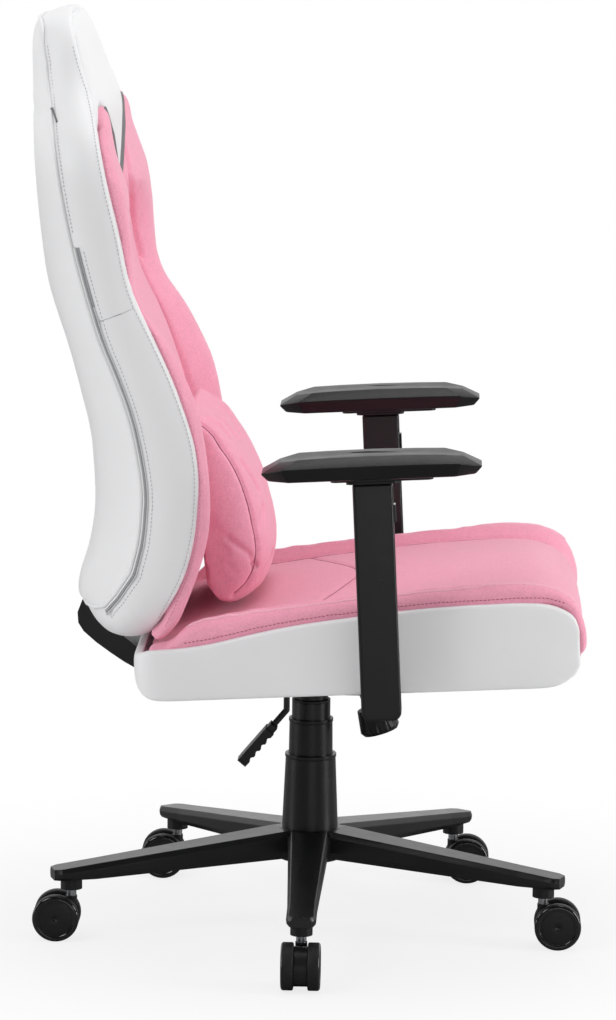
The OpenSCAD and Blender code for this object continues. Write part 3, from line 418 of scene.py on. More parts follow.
def pad_patch(name, surface, mat, nu, nv, thick, roll, tuck, puff, out):
    """Closed pad over surface(u, v): its edges roll in by tuck and its middle crowns by puff.

    out is a point behind the pad, which tells its outer side.
    """
    border = [0, 0.12 * roll, 0.4 * roll, roll, 1.8 * roll]
    mid_u = lengths([surface(i / 20, 0.5) for i in range(21)])[-1]
    mid_v = lengths([surface(0.5, i / 40) for i in range(41)])[-1]
    us, vs = cuts(mid_u, border, nu), cuts(mid_v, border, nv)
    pts = [[Vector(surface(u, v)) for u in us] for v in vs]
    rows, cols = len(vs), len(us)
    centre = Vector(out)
    along_u = [lengths(row) for row in pts]
    along_v = [lengths([pts[i][j] for i in range(rows)]) for j in range(cols)]
    front, back = [], []
    for i in range(rows):
        for j in range(cols):
            du = pts[i][min(cols - 1, j + 1)] - pts[i][max(0, j - 1)]
            dv = pts[min(rows - 1, i + 1)][j] - pts[max(0, i - 1)][j]
            n = du.cross(dv)
            n = n.normalized() if n.length > 1e-6 else Vector((1, 0, 0))
            if n.dot(pts[i][j] - centre) < 0:
                n = -n
            gap_u = min(along_u[i][j], along_u[i][-1] - along_u[i][j])
            gap_v = min(along_v[j][i], along_v[j][-1] - along_v[j][i])
            drop = 0.0
            for gap in (gap_u, gap_v):
                if gap < roll:
                    drop += 1 - math.sqrt(max(0.0, 1 - (1 - gap / roll) ** 2))
            crown = math.sqrt(max(0.0, 4 * us[j] * (1 - us[j]))) * min(1.0, gap_v / 40)
            front.append(pts[i][j] + n * (puff * crown - tuck * min(1.0, drop)))
            back.append(pts[i][j] - n * thick)

    def at(i, j, side=0):
        return (side * rows + i) * cols + j

    faces = []
    end_i, end_j = rows - 1, cols - 1
    for i in range(end_i):
        for j in range(end_j):
            faces.append((at(i, j), at(i, j + 1), at(i + 1, j + 1), at(i + 1, j)))
            faces.append((at(i, j, 1), at(i + 1, j, 1), at(i + 1, j + 1, 1), at(i, j + 1, 1)))
    for j in range(end_j):
        faces.append((at(0, j), at(0, j, 1), at(0, j + 1, 1), at(0, j + 1)))
        faces.append((at(end_i, j), at(end_i, j + 1), at(end_i, j + 1, 1), at(end_i, j, 1)))
    for i in range(end_i):
        faces.append((at(i, 0), at(i + 1, 0), at(i + 1, 0, 1), at(i, 0, 1)))
        faces.append((at(i, end_j), at(i, end_j, 1), at(i + 1, end_j, 1), at(i + 1, end_j)))
    return mesh_object(name, front + back, faces, mat)


# ---------- soft goods

PRESSURE = 4.0
SWELL_FRAMES = 20


def inflate(obj, voxel, cap, hold=None):
    """Remeshes obj and lets cloth under pressure swell it, by cap millimetres at most.

    hold(point) gives the share of the cap that a point in millimetres may move.
    """
    add_modifier(obj, "REMESH", mode="VOXEL", voxel_size=voxel * MM, use_smooth_shade=True)
    add_modifier(obj, "SMOOTH", factor=0.5, iterations=4)
    bake(obj)
    rest = [v.co.copy() for v in obj.data.vertices]
    cloth = add_modifier(obj, "CLOTH")
    s = cloth.settings
    s.quality, s.mass = 4, 0.25
    s.tension_stiffness = s.compression_stiffness = 12
    s.shear_stiffness, s.bending_stiffness = 6, 0.8
    s.use_pressure, s.uniform_pressure_force = True, PRESSURE
    s.effector_weights.gravity = 0
    cloth.collision_settings.use_collision = False
    scene = bpy.context.scene
    cloth.point_cache.frame_start, cloth.point_cache.frame_end = 1, SWELL_FRAMES
    for f in range(1, SWELL_FRAMES + 1):
        scene.frame_set(f)
    bake(obj)
    scene.frame_set(1)
    for v, r in zip(obj.data.vertices, rest):
        move = v.co - r
        most = cap * MM * (hold(r / MM) if hold else 1.0)
        if move.length > most:
            move *= most / move.length
        v.co = r + move
    subdivide(obj)
    shade_smooth(obj)


def groove(obj, path, width, depth):
    """Presses a line of the given half width and depth into obj along a path."""
    line = np.array([tuple(p) for p in resample(path, width * 0.6)])
    verts = obj.data.vertices
    co, normal = np.empty(len(verts) * 3), np.empty(len(verts) * 3)
    verts.foreach_get("co", co)
    verts.foreach_get("normal", normal)
    co, normal = co.reshape(-1, 3) / MM, normal.reshape(-1, 3)
    reach = width * 2.2
    inside = (co > line.min(0) - reach) & (co < line.max(0) + reach)
    near = np.all(inside, axis=1).nonzero()[0]
    gap = np.full(len(near), 1e9)
    for p in line:
        gap = np.minimum(gap, ((co[near] - p) ** 2).sum(1))
    press_in = np.where(gap < reach**2, depth * np.exp(-gap / width**2), 0.0)
    co[near] -= normal[near] * press_in[:, None]
    verts.foreach_set("co", (co * MM).ravel())
    obj.data.update()


def on_surface(obj, path, pitch, lift=0.0):
    """Path laid on obj's surface, with normals."""
    tree = BVHTree.FromObject(obj, bpy.context.evaluated_depsgraph_get())
    pts, normals = [], []
    for p in resample(path, pitch):
        co, n = tree.find_nearest(p * MM)[:2]
        pts.append(co / MM + n * lift)
        normals.append(n)
    return pts, normals


def ride(obj, body, slot, *stands_for):
    """Attaches obj to its body and hides the CAD nodes that it stands for; slot is not used."""
    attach(obj, body)
    if stands_for:
        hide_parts(*stands_for)


# ---------- camera, light, floor

WHITE = (1, 1, 1, 1)
YAW, PITCH, ROLL = 0.0295, 0.15813, 0.01094  # radians
EYE = (0.170, -5.998, 1.506)
FOCAL = 165.74
LAMPS = (  # name, place, width and height, watts
    ("key", (-2.4, -2.2, 2.8), (1.4, 1.4), 29),
    ("front", (3.4, -0.8, 1.2), (1.0, 2.2), 52),
    ("rear", (-3.4, -0.4, 0.9), (1.0, 2.2), 23),
    ("top", (0.4, 0.3, 3.6), (2.0, 2.0), 38),
    ("low", (0.8, -4.6, 0.4), (2.4, 0.7), 9),
)
LIT_POINT = Vector((0, 0, 0.55))


def make_camera(scene):
    level = math.cos(PITCH)
    fwd = Vector((-math.sin(YAW) * level, math.cos(YAW) * level, -math.sin(PITCH)))
    right = Vector((math.cos(YAW), math.sin(YAW), 0))
    up = right.cross(fwd)
    x = right * math.cos(ROLL) + up * math.sin(ROLL)
    y = up * math.cos(ROLL) - right * math.sin(ROLL)
    lens = bpy.data.cameras.new("camera")
    lens.lens, lens.sensor_width, lens.sensor_fit = FOCAL, 36.0, "AUTO"
    lens.clip_end = 60
    scene.camera = new_object("camera", lens)
    axes = Matrix((x, y, -fwd)).transposed()
    scene.camera.matrix_world = Matrix.Translation(EYE) @ axes.to_4x4()


def make_world(scene):
    world = bpy.data.worlds.new("world")
    scene.world = world
    world.use_nodes = True
    nt = world.node_tree
    back = nt.nodes["Background"]
    back.inputs["Color"].default_value = WHITE
    shown = add_node(nt, "Background", {"Color": WHITE, "Strength": 1.0})
    rays = add_node(nt, "LightPath")
    # reflections see a dark room with a bright backdrop behind the chair
    toward = add_node(nt, "SeparateXYZ", {0: add_node(nt, "TexCoord").outputs["Generated"]})
    room = add_node(nt, "MapRange", {"Value": toward.outputs["Y"], "From Min": 0.1, "From Max": 0.6,
                                     "To Min": 0.05, "To Max": 1.0})
    level = add_node(nt, "Mix", {"Factor": rays.outputs["Is Glossy Ray"], "A": 0.48,
                                 "B": room.outputs["Result"]})
    nt.links.new(level.outputs["Result"], back.inputs["Strength"])
    blend = add_node(nt, "MixShader", {"Fac": rays.outputs["Is Camera Ray"],
                                       1: back.outputs["Background"],
                                       2: shown.outputs["Background"]})
    nt.links.new(blend.outputs["Shader"], nt.nodes["World Output"].inputs["Surface"])


def make_lamps():
    for name, where, size, power in LAMPS:
        light = bpy.data.lights.new(name, "AREA")
        light.shape = "RECTANGLE"
        light.size, light.size_y = size
        light.energy = power
        lamp = new_object(name, light)
        lamp.location = where
        lamp.rotation_euler = (LIT_POINT - Vector(where)).to_track_quat("-Z", "Y").to_euler()


def make_floor(reach=9):
    mesh = bpy.data.meshes.new("floor")
    corners = [(-reach, -reach, 0), (reach, -reach, 0), (reach, reach, 0), (-reach, reach, 0)]
    mesh.from_pydata(corners, [], [(0, 1, 2, 3)])
    floor = new_object("floor", mesh)
    mat, nt, bsdf = new_material("floor")
    bsdf.inputs["Roughness"].default_value = 0.7
    rays = add_node(nt, "LightPath")
    # a darker floor in reflections
    tone = add_node(nt, "MapRange", {"Value": rays.outputs["Is Glossy Ray"], "To Min": 0.86,
                                     "To Max": 0.25})
    nt.links.new(tone.outputs["Result"], bsdf.inputs["Base Color"])
    # far from the chair the floor is plain white; near it the shadow shows
    away = add_node(nt, "VectorMath", {0: add_node(nt, "TexCoord").outputs["Object"]},
                    operation="LENGTH")
    fade = add_node(nt, "MapRange", {"Value": away.outputs["Value"], "From Min": 0.35,
                                     "From Max": 0.95, "To Min": 0.8, "To Max": 1.0},
                    interpolation_type="SMOOTHSTEP")
    share = add_node(nt, "Math", {0: rays.outputs["Is Camera Ray"], 1: fade.outputs["Result"]},
                     operation="MULTIPLY")
    glow = add_node(nt, "Emission", {"Strength": 1.0})
    blend = add_node(nt, "MixShader", {"Fac": share.outputs[0], 1: bsdf.outputs["BSDF"],
                                       2: glow.outputs["Emission"]})
    nt.links.new(blend.outputs["Shader"], nt.nodes["Material Output"].inputs["Surface"])
    mesh.materials.append(mat)


def make_stage():
    scene = bpy.context.scene
    scene.view_settings.view_transform = "Standard"
    make_camera(scene)
    make_world(scene)
    make_lamps()
    make_floor()


make_stage()


# ---------- the back

Z0 = 409.5  # lower edge of the back


def table(*rows):
    return [(Z0 + h, x) for h, x in rows]


# x over the height: rear panel along its middle, rear seam, crest of the wings, front of the
# middle cushion; HALF is the half width and LIP the x of the front seam
REAR = table((0, -243), (5, -264), (13, -279), (28, -286), (40, -294), (50, -302), (62, -298),
             (80, -290), (122, -280), (159, -276), (205, -278), (250, -282), (299, -294),
             (362, -311), (422, -331), (453, -339), (519, -347), (573, -352), (620, -355),
             (670, -357), (728, -359), (758, -359), (776, -350), (788, -334), (793, -316))
SEAM = table((0, -232), (38, -238), (56, -232), (102, -220), (134, -212), (165, -209),
             (198, -208), (244, -215), (293, -227), (341, -245), (383, -263), (437, -280),
             (503, -297), (660, -326), (760, -338), (793, -318))
EDGE = table((0, -205), (3, -192), (14, -177), (28, -165), (49, -156), (92, -140), (134, -128),
             (168, -124), (205, -125), (246, -130), (290, -139), (320, -150), (361, -170),
             (388, -185), (415, -201), (449, -214), (491, -220), (526, -223), (569, -229),
             (600, -240), (641, -252), (692, -256), (713, -263), (736, -271), (756, -280),
             (774, -288), (793, -306))
CENTRE = table((0, -212), (14, -196), (40, -186), (90, -172), (150, -167), (190, -166.3),
               (230, -168), (290, -180), (340, -196), (390, -216), (430, -236), (470, -248),
               (530, -255), (591, -257), (640, -258.5), (665, -260), (687, -267), (708, -276),
               (738, -287), (753, -292), (770, -298), (783, -307), (793, -322))
HALF = table((0, 225), (14, 235), (40, 242.5), (100, 250), (200, 250), (300, 246), (380, 240),
             (440, 239), (500, 244), (550, 250), (590, 246), (625, 230), (655, 200), (690, 162.5),
             (730, 145), (770, 132.5), (786, 120), (793, 105))
LIP = [(413, -200), (425, -188), (468, -167), (507, -150), (548, -140), (584, -136), (621, -135),
       (654, -138), (690, -147), (738, -165), (780, -184), (816, -202), (845, -216), (877, -226),
       (928, -236), (978, -248), (1031, -260), (1064, -268), (1090, -276), (1131, -291),
       (1163, -300), (1185, -307), (1202, -318)]
INNER = [(0, 155), (900, 155), (930, 120), (950, 60), (962, 15), (968, 2), (1000, 45),
         (1040, 98), (1070, 138), (1085, 150), (1095, 158)]  # inner edge of the wings
FOOT = 414  # lower edge of the wings and of the middle
REAR_SHARE, FRONT_SHARE = 0.95, 0.995  # half widths of the two seams against HALF
BEHIND = (-600, 0, 650)


def line(x, rows):
    """Straight pieces between the rows of a table."""
    if x <= rows[0][0]:
        return rows[0][1]
    for (a, p), (b, q) in zip(rows, rows[1:]):
        if x <= b:
            return mix(p, q, (x - a) / max(1e-9, b - a))
    return rows[-1][1]


def spline(points, t):
    """Point at share t of a smooth curve through points."""
    k = t * (len(points) - 1)
    i = min(len(points) - 2, int(k))
    s = k - i
    p = [points[clamp(j, 0, len(points) - 1)] for j in (i - 1, i, i + 1, i + 2)]
    return tuple(
        0.5 * (2 * b + (c - a) * s + (2 * a - 5 * b + 4 * c - d) * s * s
               + (3 * b - a - 3 * c + d) * s**3)
        for a, b, c, d in zip(*p)
    )


def half(z):
    return curve(z, HALF)


def rear_x(y, z):
    out = min(1.0, abs(y) / (REAR_SHARE * half(z)))
    return mix(curve(z, REAR), curve(z, SEAM), out ** 3.3)


def front_x(y, z):
    return mix(curve(z, CENTRE), curve(z, LIP), min(1.0, abs(y) / half(z)) ** 2.5)


def wing_top(u):
    return mix(1090, 1056, u)


def wing(side, u, v):
    """u from the inner edge to the lip, v from the lower edge to the top."""
    z = mix(FOOT, wing_top(u), v)
    w, f, c, b, yi = half(z), curve(z, EDGE), curve(z, CENTRE), curve(z, LIP), line(z, INNER)
    f = max(f, b) - 6 * ease((z - 780) / 80) + 3 * ease((z - 1020) / 50)
    x, y = spline([(c, yi), (mix(c, f, 0.42), mix(yi, w, 0.24)),
                   (mix(c, f, 0.88), mix(yi, w, 0.52)), (f, mix(yi, w, 0.80)),
                   (mix(f, b, 0.25), mix(yi, w, 0.95)), (b, w * FRONT_SHARE)], u)
    return (x, side * y, z)


def middle(u, v):
    z = mix(FOOT, 976, v)
    yi = line(z - 10, INNER) + 15  # runs in under the wings
    return (curve(z, CENTRE) + 2 * math.sin(math.pi * u), mix(-yi, yi, u), z)


HEAD_LOW = [(0, 964), (2, 965), (45, 997), (98, 1037), (138, 1065), (150, 1076), (154, 1078),
            (201, 1044)]
HEAD_TOP = [(0, 1195), (70, 1194), (102, 1188), (122, 1176), (133, 1163), (144, 1139),
            (162, 1099.5), (180, 1083), (199, 1066), (201, 1063)]


def head(u, v):
    y = mix(-200, 200, u)
    z = mix(line(abs(y), HEAD_LOW), line(abs(y), HEAD_TOP), v)
    return (front_x(y, z), y, z)


REAR_LOW, REAR_TOP = 505, 1130  # the rear panel's sides follow the seam between these heights
REAR_CORNER = [(447, 150), (450, 183), (456, 207), (475, 222),
               (REAR_LOW, REAR_SHARE * half(REAR_LOW))]
REAR_CROWN = [(REAR_TOP, REAR_SHARE * half(REAR_TOP)), (1160, 126), (1173, 118), (1181, 92),
              (1183, 74)]


def rear_half(z):
    """Half width of the rear panel."""
    if z < REAR_LOW:
        return line(z, REAR_CORNER)
    return REAR_SHARE * half(z) if z < REAR_TOP else line(z, REAR_CROWN)


def rear_panel(u, v):
    z = mix(447, 1182.5, v)
    y = mix(-1, 1, u) * rear_half(z)
    return (rear_x(y, z), y, z)


def loops():
    """Matched points of the rear and front seams of the white boxing, right side then left."""
    n = 34
    rear = [(0, 447), (50, 447), (100, 447), (140, 447.5), (175, 449), (207, 456), (222, 475)]
    front = [(0, 413), (50, 413), (100, 413), (140, 413.5), (172, 415), (205, 424), (222, 445)]
    for k in range(n + 1):
        zr, zf = mix(REAR_LOW, REAR_TOP, k / n), mix(475, 1160, k / n)
        rear.append((REAR_SHARE * half(zr), zr))
        front.append((FRONT_SHARE * half(zf), zf))
    rear += [(129, 1150), (118, 1172), (92, 1181), (60, 1182.5), (30, 1182.5), (0, 1182.5)]
    front += [(124, 1175), (104, 1187), (76, 1193), (50, 1195), (25, 1195), (0, 1195)]
    closed = []
    for outline, depth in ((rear, rear_x), (front, front_x)):
        left = [Vector((depth(y, z), y, z)) for y, z in outline]
        closed.append([Vector((x, -y, z)) for x, y, z in left] + left[-2:0:-1])
    return closed


R_LOOP, F_LOOP = loops()


def boxing(i, q, lift=0.0):
    """Point of the boxing at loop station i (a real number), q from rear to front."""
    n = len(R_LOOP)
    k = int(math.floor(i)) % n
    s = i - math.floor(i)
    r0, r1, f0, f1 = R_LOOP[k], R_LOOP[(k + 1) % n], F_LOOP[k], F_LOOP[(k + 1) % n]
    r, f = r0.lerp(r1, s), f0.lerp(f1, s)
    t = (r1 + f1) - (r0 + f0)
    out = Vector((0, -t.z, t.y)).normalized()
    if out.dot(Vector((0, r.y, r.z - 800))) < 0:
        out = -out
    # bulge of the wall: 14 in general, 7 towards the top, 36 along the lower edge
    high = ease((abs(r.z - 820) - 250) / 120)
    low = ease((500 - r.z) / 40)
    mid = (r + f) / 2 + out * mix(mix(14, 7, high), 36, low) - Vector((20 * low, 0, 0))
    p = r * (1 - q) ** 2 + mid * 2 * q * (1 - q) + f * q * q
    return p + out * lift


def boxing_piece(cols=14, thick=16, roll=6):
    rings = []
    for i, (r, f) in enumerate(zip(R_LOOP, F_LOOP)):
        outer, inner = [], []
        for q in [j / cols for j in range(cols + 1)]:
            edge = min(q, 1 - q) * (r - f).length
            drop = 2.0 * (1 - math.sqrt(clamp(1 - (1 - min(1, edge / roll)) ** 2)))
            outer.append(boxing(i, q, -drop))
            inner.append(boxing(i, q, -thick))
        rings.append(outer + inner[::-1])
    return rings_object("back_boxing", rings, "white", closed=True)


def station(side, z):
    """Loop station of a side wall whose rear seam is nearest to height z."""
    wall = [k for k, p in enumerate(R_LOOP) if p.y * side > 0]
    return min(wall, key=lambda k: abs(R_LOOP[k].z - z))


def side_line(side, dist, z0, z1, lift=0.0):
    """Points up the boxing, dist from its rear seam or, if negative, from its front seam."""
    out = []
    for k, (r, f) in enumerate(zip(R_LOOP, F_LOOP)):
        if r.y * side > 0 and z0 <= r.z <= z1:
            share = dist / (r - f).length
            out.append(boxing(k, share if dist >= 0 else 1 + share, lift))
    return sorted(out, key=lambda p: p.z)


def press(obj, path, width, depth):
    """Groove along a path laid on obj's surface."""
    groove(obj, on_surface(obj, path, width * 0.6)[0], width, depth)


def sunk_seam(name, obj, path, mat, body, slot, width, depth, r):
    """Groove along a path with a thin cord lying in it."""
    pts, normals = on_surface(obj, path, 3.0)
    groove(obj, pts, width, depth)
    tree = BVHTree.FromObject(obj, bpy.context.evaluated_depsgraph_get())
    laid = []
    for p, n in zip(pts, normals):
        hit = tree.ray_cast((p + n * 6) * MM, -n, 20 * MM)[0]
        laid.append((hit / MM if hit else p) + n * r * 0.2)
    runs = [laid[max(0, k - 2):k + 3] for k in range(len(laid))]
    cord = [sum(run, Vector()) / len(run) for run in runs]
    ride(tube(name, cord, r, mat, sides=6), body, slot)


def soft(obj, body, slot, fill, *nodes):
    """Attaches a padded piece to its body and hides the CAD nodes that it stands for."""
    ride(obj, body, slot, *nodes)


def seam_stitch(name, base, path, mat, body, slot, **opts):
    """Row of stitches on the surface of base."""
    pts, normals = on_surface(base, path, 2.0, 0.3)
    ride(stitches(name, pts, normals, mat, **opts), body, slot)


REAR_SEAM = [(470, 96), (540, 116), (615, 121), (740, 122), (862, 118), (960, 106), (1060, 92)]
CHANNEL = (  # distance from the rear seam, radius, material, lower and upper end
    (4.0, 1.5, "white", 455, 912),
    (6.7, 1.2, "grey_line", 455, 912),
    (9.4, 1.3, "grey_pipe", 455, 836),
    (9.4, 1.5, "grey_line", 828, 912),
)
CREASE = [(0.13, 1008), (0.18, 990), (0.22, 970), (0.20, 950), (0.15, 932), (0.12, 910),
          (0.12, 885), (0.13, 860)]  # (u, z) on a wing


def make_rear_panel():
    rear = subdivide(pad_patch("back_rear_panel", rear_panel, "white", 22, 34, thick=12, roll=5,
                               tuck=2.2, puff=2.5, out=(0, 0, 700)))
    for s, _ in SIDES:
        groove(rear, [(rear_x(s * y, z), s * y, z) for z, y in REAR_SEAM], 3.0, 2.4)
    across = [(rear_x(y, 1068), y, 1068 + 6 * (abs(y) / 190) ** 2) for y in range(-180, 181, 12)]
    groove(rear, across, 3.2, 3.0)
    soft(rear, "back", LEATHER, 0.9, "back_shell")


def make_boxing():
    box = subdivide(boxing_piece())
    for s, name in SIDES:
        cross = [boxing(mix(station(s, 821), station(s, 832), k / 12), mix(0.12, 0.97, k / 12))
                 for k in range(13)]
        sunk_seam(f"cross_seam_{name}", box, cross, "grey_line", "back", LEATHER, 2.6, 1.6, 0.5)
    soft(box, "back", LEATHER, 0.9)
    piping = tube("back_piping", resample(R_LOOP + [R_LOOP[0]], 7)[:-1], 2.7, "white", closed=True)
    ride(piping, "back", LEATHER)
    for s, name in SIDES:
        dress_side(box, s, name)


def dress_side(box, s, name):
    """Channel, notch and stitches along one side wall."""
    lie_on = ("back", LEATHER)
    for k, (dist, r, mat, z0, z1) in enumerate(CHANNEL):
        path = resample(side_line(s, dist, z0, z1, 0.2), 6)
        ride(tube(f"channel_pipe_{name}_{k}", path, r, mat, sides=6), *lie_on)
    path = side_line(s, 15.5, 455, 912)
    seam_stitch(f"channel_edge_stitch_{name}", box, path, "white_thread", *lie_on)
    notch = [boxing(station(s, z), share, lift)
             for z, share, lift in ((1074, 0.0, 1.6), (1066, 0.05, 1.4), (1058, 0.13, 0.6))]
    ride(tube(f"rear_notch_{name}", resample(notch, 3), 1.2, "seam_dark", sides=6), *lie_on)
    path = resample(side_line(s, 6.5, 914, 1150, 0.2), 2)
    outward = [Vector((0, s, 0))] * len(path)
    ride(stitches(f"channel_stitch_{name}", path, outward, "white_thread"), *lie_on)
    path = side_line(s, -5.5, 470, 1140)
    seam_stitch(f"boundary_stitch_{name}", box, path, "white_thread", *lie_on)


def make_wing(s, name):
    side = pad_patch(f"back_wing_{name}", lambda u, v: wing(s, u, v), "pink", 18, 44, thick=18,
                     roll=8, tuck=4.5, puff=0.5, out=BEHIND)
    inflate(side, 5.5, cap=3.5)
    fold = [wing(s, u, (z - FOOT) / (wing_top(u) - FOOT)) for u, z in CREASE]
    press(side, [spline(fold, k / 40) for k in range(41)], 5, 7)
    soft(side, "back", FABRIC, 0.8, f"back_bolster_{name}")
    for kind, u in (("stitch", 0.055), ("edge_stitch", 0.955)):
        path = [wing(s, u, v / 60) for v in range(2, 59)]
        seam_stitch(f"wing_{kind}_{name}", side, path, "pink_thread", "back", FABRIC)


def make_head():
    top = pad_patch("back_head", head, "white", 30, 20, thick=16, roll=7, tuck=4, puff=1.5,
                    out=BEHIND)
    inflate(top, 5.5, cap=3, hold=lambda p: ease((1188 - p.z) / 50))
    soft(top, "back", LEATHER, 0.9)
    for s, name in SIDES:
        edge = ((143, 1075), (138, 1068), (98, 1038), (45, 998), (2, 964))
        path = resample([(front_x(y, z) + 2, s * y, z) for y, z in edge], 7)
        ride(tube(f"head_trim_{name}", path, 4.6, "seam_dark", squash=0.8), "back", LEATHER)


def make_back():
    make_rear_panel()
    make_boxing()
    mid = pad_patch("back_middle", middle, "pink", 18, 30, thick=16, roll=8, tuck=6, puff=1.5,
                    out=BEHIND)
    inflate(mid, 5.5, cap=4)
    soft(mid, "back", FABRIC, 0.8, "back_cushion")
    for s, name in SIDES:
        make_wing(s, name)
    make_head()


# ---------- lumbar cushion

LUMBAR = [(0, -28), (0, 30), (0, 78), (2, 99), (8, 107), (22, 102), (44, 86), (58, 66), (75, 42),
          (92, 8), (105, -33), (112, -66), (113, -88), (110, -106), (99, -128), (78, -147),
          (56, -144), (43, -120), (33, -78), (16, -48)]  # side view, from its place on the back
LUMBAR_X, LUMBAR_Z = curve(Z0 + 190, CENTRE) + 3, Z0 + 178
LUMBAR_SEAM = [(-150, 686), (-132, 680), (-114, 663), (-98, 640), (-83, 607), (-72, 574),
               (-65, 541), (-64, 515), (-68, 494), (-80, 475), (-97, 461)]
LUMBAR_CREASES = (  # (x, half y, z)
    ((-126, 104, 692), (-110, 96, 682), (-93, 86, 668)),
    ((-82, 104, 630), (-71, 92, 611), (-61, 80, 590)),
    ((-112, 52, 684), (-98, 40, 668), (-88, 26, 654)),
    ((-62, 118, 548), (-56, 98, 556), (-54, 80, 566)),
    ((-72, 110, 486), (-62, 84, 494), (-56, 64, 502)),
)
LUMBAR_DENT = [(-103, 146, 534), (-88, 145, 523), (-75, 143, 514), (-66, 136, 497)]


def make_lumbar():
    loop = [spline(LUMBAR + LUMBAR[:1], k / 80) for k in range(80)]
    rings = []
    for i in range(41):
        q = -1 + i / 20
        k = mix(0.72, 1, math.sqrt(1 - abs(q) ** 4))
        rings.append([(LUMBAR_X + max(0.0, x) * k * 0.97, q * 143,
                       LUMBAR_Z + z * mix(0.85, 1, k) * 0.98) for x, z in loop])
    pad = rings_object("lumbar_pad", rings, "pink")
    inflate(pad, 5.0, cap=5, hold=lambda p: ease((p.x - LUMBAR_X + 2) / 22))
    for s, name in SIDES:
        # the cord in each lumbar side seam is dark pink: painted seam shade
        sunk_seam(f"lumbar_piping_{name}", pad, [(x, s * 136, z) for x, z in LUMBAR_SEAM],
                  "pink_seam", "lumbar", FABRIC, 3.6, 4, 0.9)
        for path in LUMBAR_CREASES:
            press(pad, [(x, s * y, z) for x, y, z in path], 7, 5)
        press(pad, [(x, s * y, z) for x, y, z in LUMBAR_DENT], 4, 5)
    soft(pad, "lumbar", FABRIC, 0.9, "lumbar_cushion")


# ---------- seat

LEAN = math.radians(3)
S_EDGE = [(-213, 60), (-198, 65.5), (-165, 66), (-120, 71), (-79, 79), (-11, 91), (75, 100),
          (139, 106), (243, 110), (288, 109), (310, 106), (322, 102), (330, 98), (337, 91),
          (342, 81), (345, 66), (346, 56)]
S_CREST = [(-213, 61), (-198, 68), (-170, 69), (-156, 84), (-140, 94), (-79, 104), (-10, 112),
           (139, 124), (245, 128), (292, 125), (318, 119), (337, 108), (349, 90), (356, 66),
           (358, 56)]
SEAT_US = [-199, -196, -190, -182, -172, -164, -156, -148, -138, *range(-124, 290, 14), 296, 306,
           316, 321, 324, 330, 336, 341, 345.5, 346.5, 348.5, 351, 353, 354.8, 355.8]
BAND_HALF = [(u, -250) for u in (344, 336, 327, 316, 300, 245, 190, 139, 90, 40, -10, -60, -110,
                                 -160)]
BAND_HALF += [(-191, -249), (-206, -243), (-213, -228), (-213, -180), (-213, -120), (-213, -60),
              (-213, 0)]
BAND = BAND_HALF + [(u, -y) for u, y in BAND_HALF[-2::-1]]  # right front, round the rear, left
BAND_LENGTHS = lengths([(u, y, 0) for u, y in BAND])
NOSE, NOSE_R = 304, 42  # where the lower edge starts to rise at the front, and its radius
TAIL, TAIL_R = -191, 22  # the same at the rear
FACE = 346  # front face of the white band; the cushion's lip stands ahead of it


def rise(distance, radius):
    """Height of a rounded lower edge at a distance past its start."""
    return radius - math.sqrt(max(0, radius**2 - distance**2))


def seat(u, y, w):
    """Point from the seat's own frame: u ahead, y to the left, w above its lower edge."""
    c, s = math.cos(LEAN), math.sin(LEAN)
    return (u * c - w * s, y, 352 + u * s + w * c)


def seat_slice(u, n=44):
    """Half profile of the cushion at station u, from its base over the bolster to the middle."""
    over = max(0.0, u - FACE) / 12
    side = 249 - 9 * over * over
    c = curve(u, S_CREST)
    if u < FACE:
        inner, e = 237.5, min(c - 4, curve(u, S_EDGE) + 1)
        base = 27 if u < 322 else 3 + rise(u - NOSE, NOSE_R)
    else:
        inner, e = side, min(c - 6, 56)
        base = max(38.5, 3 + rise(u - NOSE - 12, NOSE_R) + 14)
    c += 3
    swell = min(20.0, max(0.0, (c - e) * 0.85))
    m = c - swell
    top = [(side - 1, e), (side, mix(e, c, 0.35)), (side - 4, mix(e, c, 0.75)), (side - 13, c),
           (side - 25, c - 0.12 * swell), (side - 37, m + 0.2 * swell), (side - 47, m),
           (side * 0.5, m + 2.5), (side * 0.25, m + 5.5), (0, m + 6.5)]
    low = [(0, base), (inner * 0.33, base), (inner * 0.66, base), (inner, base),
           (inner, mix(base, e, 0.5)), (inner, e - 1)]
    return low + [spline(top, k / n) for k in range(n + 1)]


def band(u, v):
    """Outer face of the white band: u runs up it, v along BAND."""
    d = v * BAND_LENGTHS[-1]
    i = max(k for k in range(len(BAND) - 1) if BAND_LENGTHS[k] <= d)
    s = (d - BAND_LENGTHS[i]) / (BAND_LENGTHS[i + 1] - BAND_LENGTHS[i])
    a, y = mix(BAND[i][0], BAND[i + 1][0], s), mix(BAND[i][1], BAND[i + 1][1], s)
    low = 0.0
    if a > NOSE:
        low = rise(a - NOSE, NOSE_R)
    if a < TAIL:
        low = rise(a - TAIL, TAIL_R)
    if a < -211 and abs(y) < 60:  # leaves the carrying bar free
        low = mix(22, 33, ease((60 - abs(y)) / 8))
    high = 60 if a < -205 else curve(a, S_EDGE)
    return seat(a, y, mix(low, high, u))


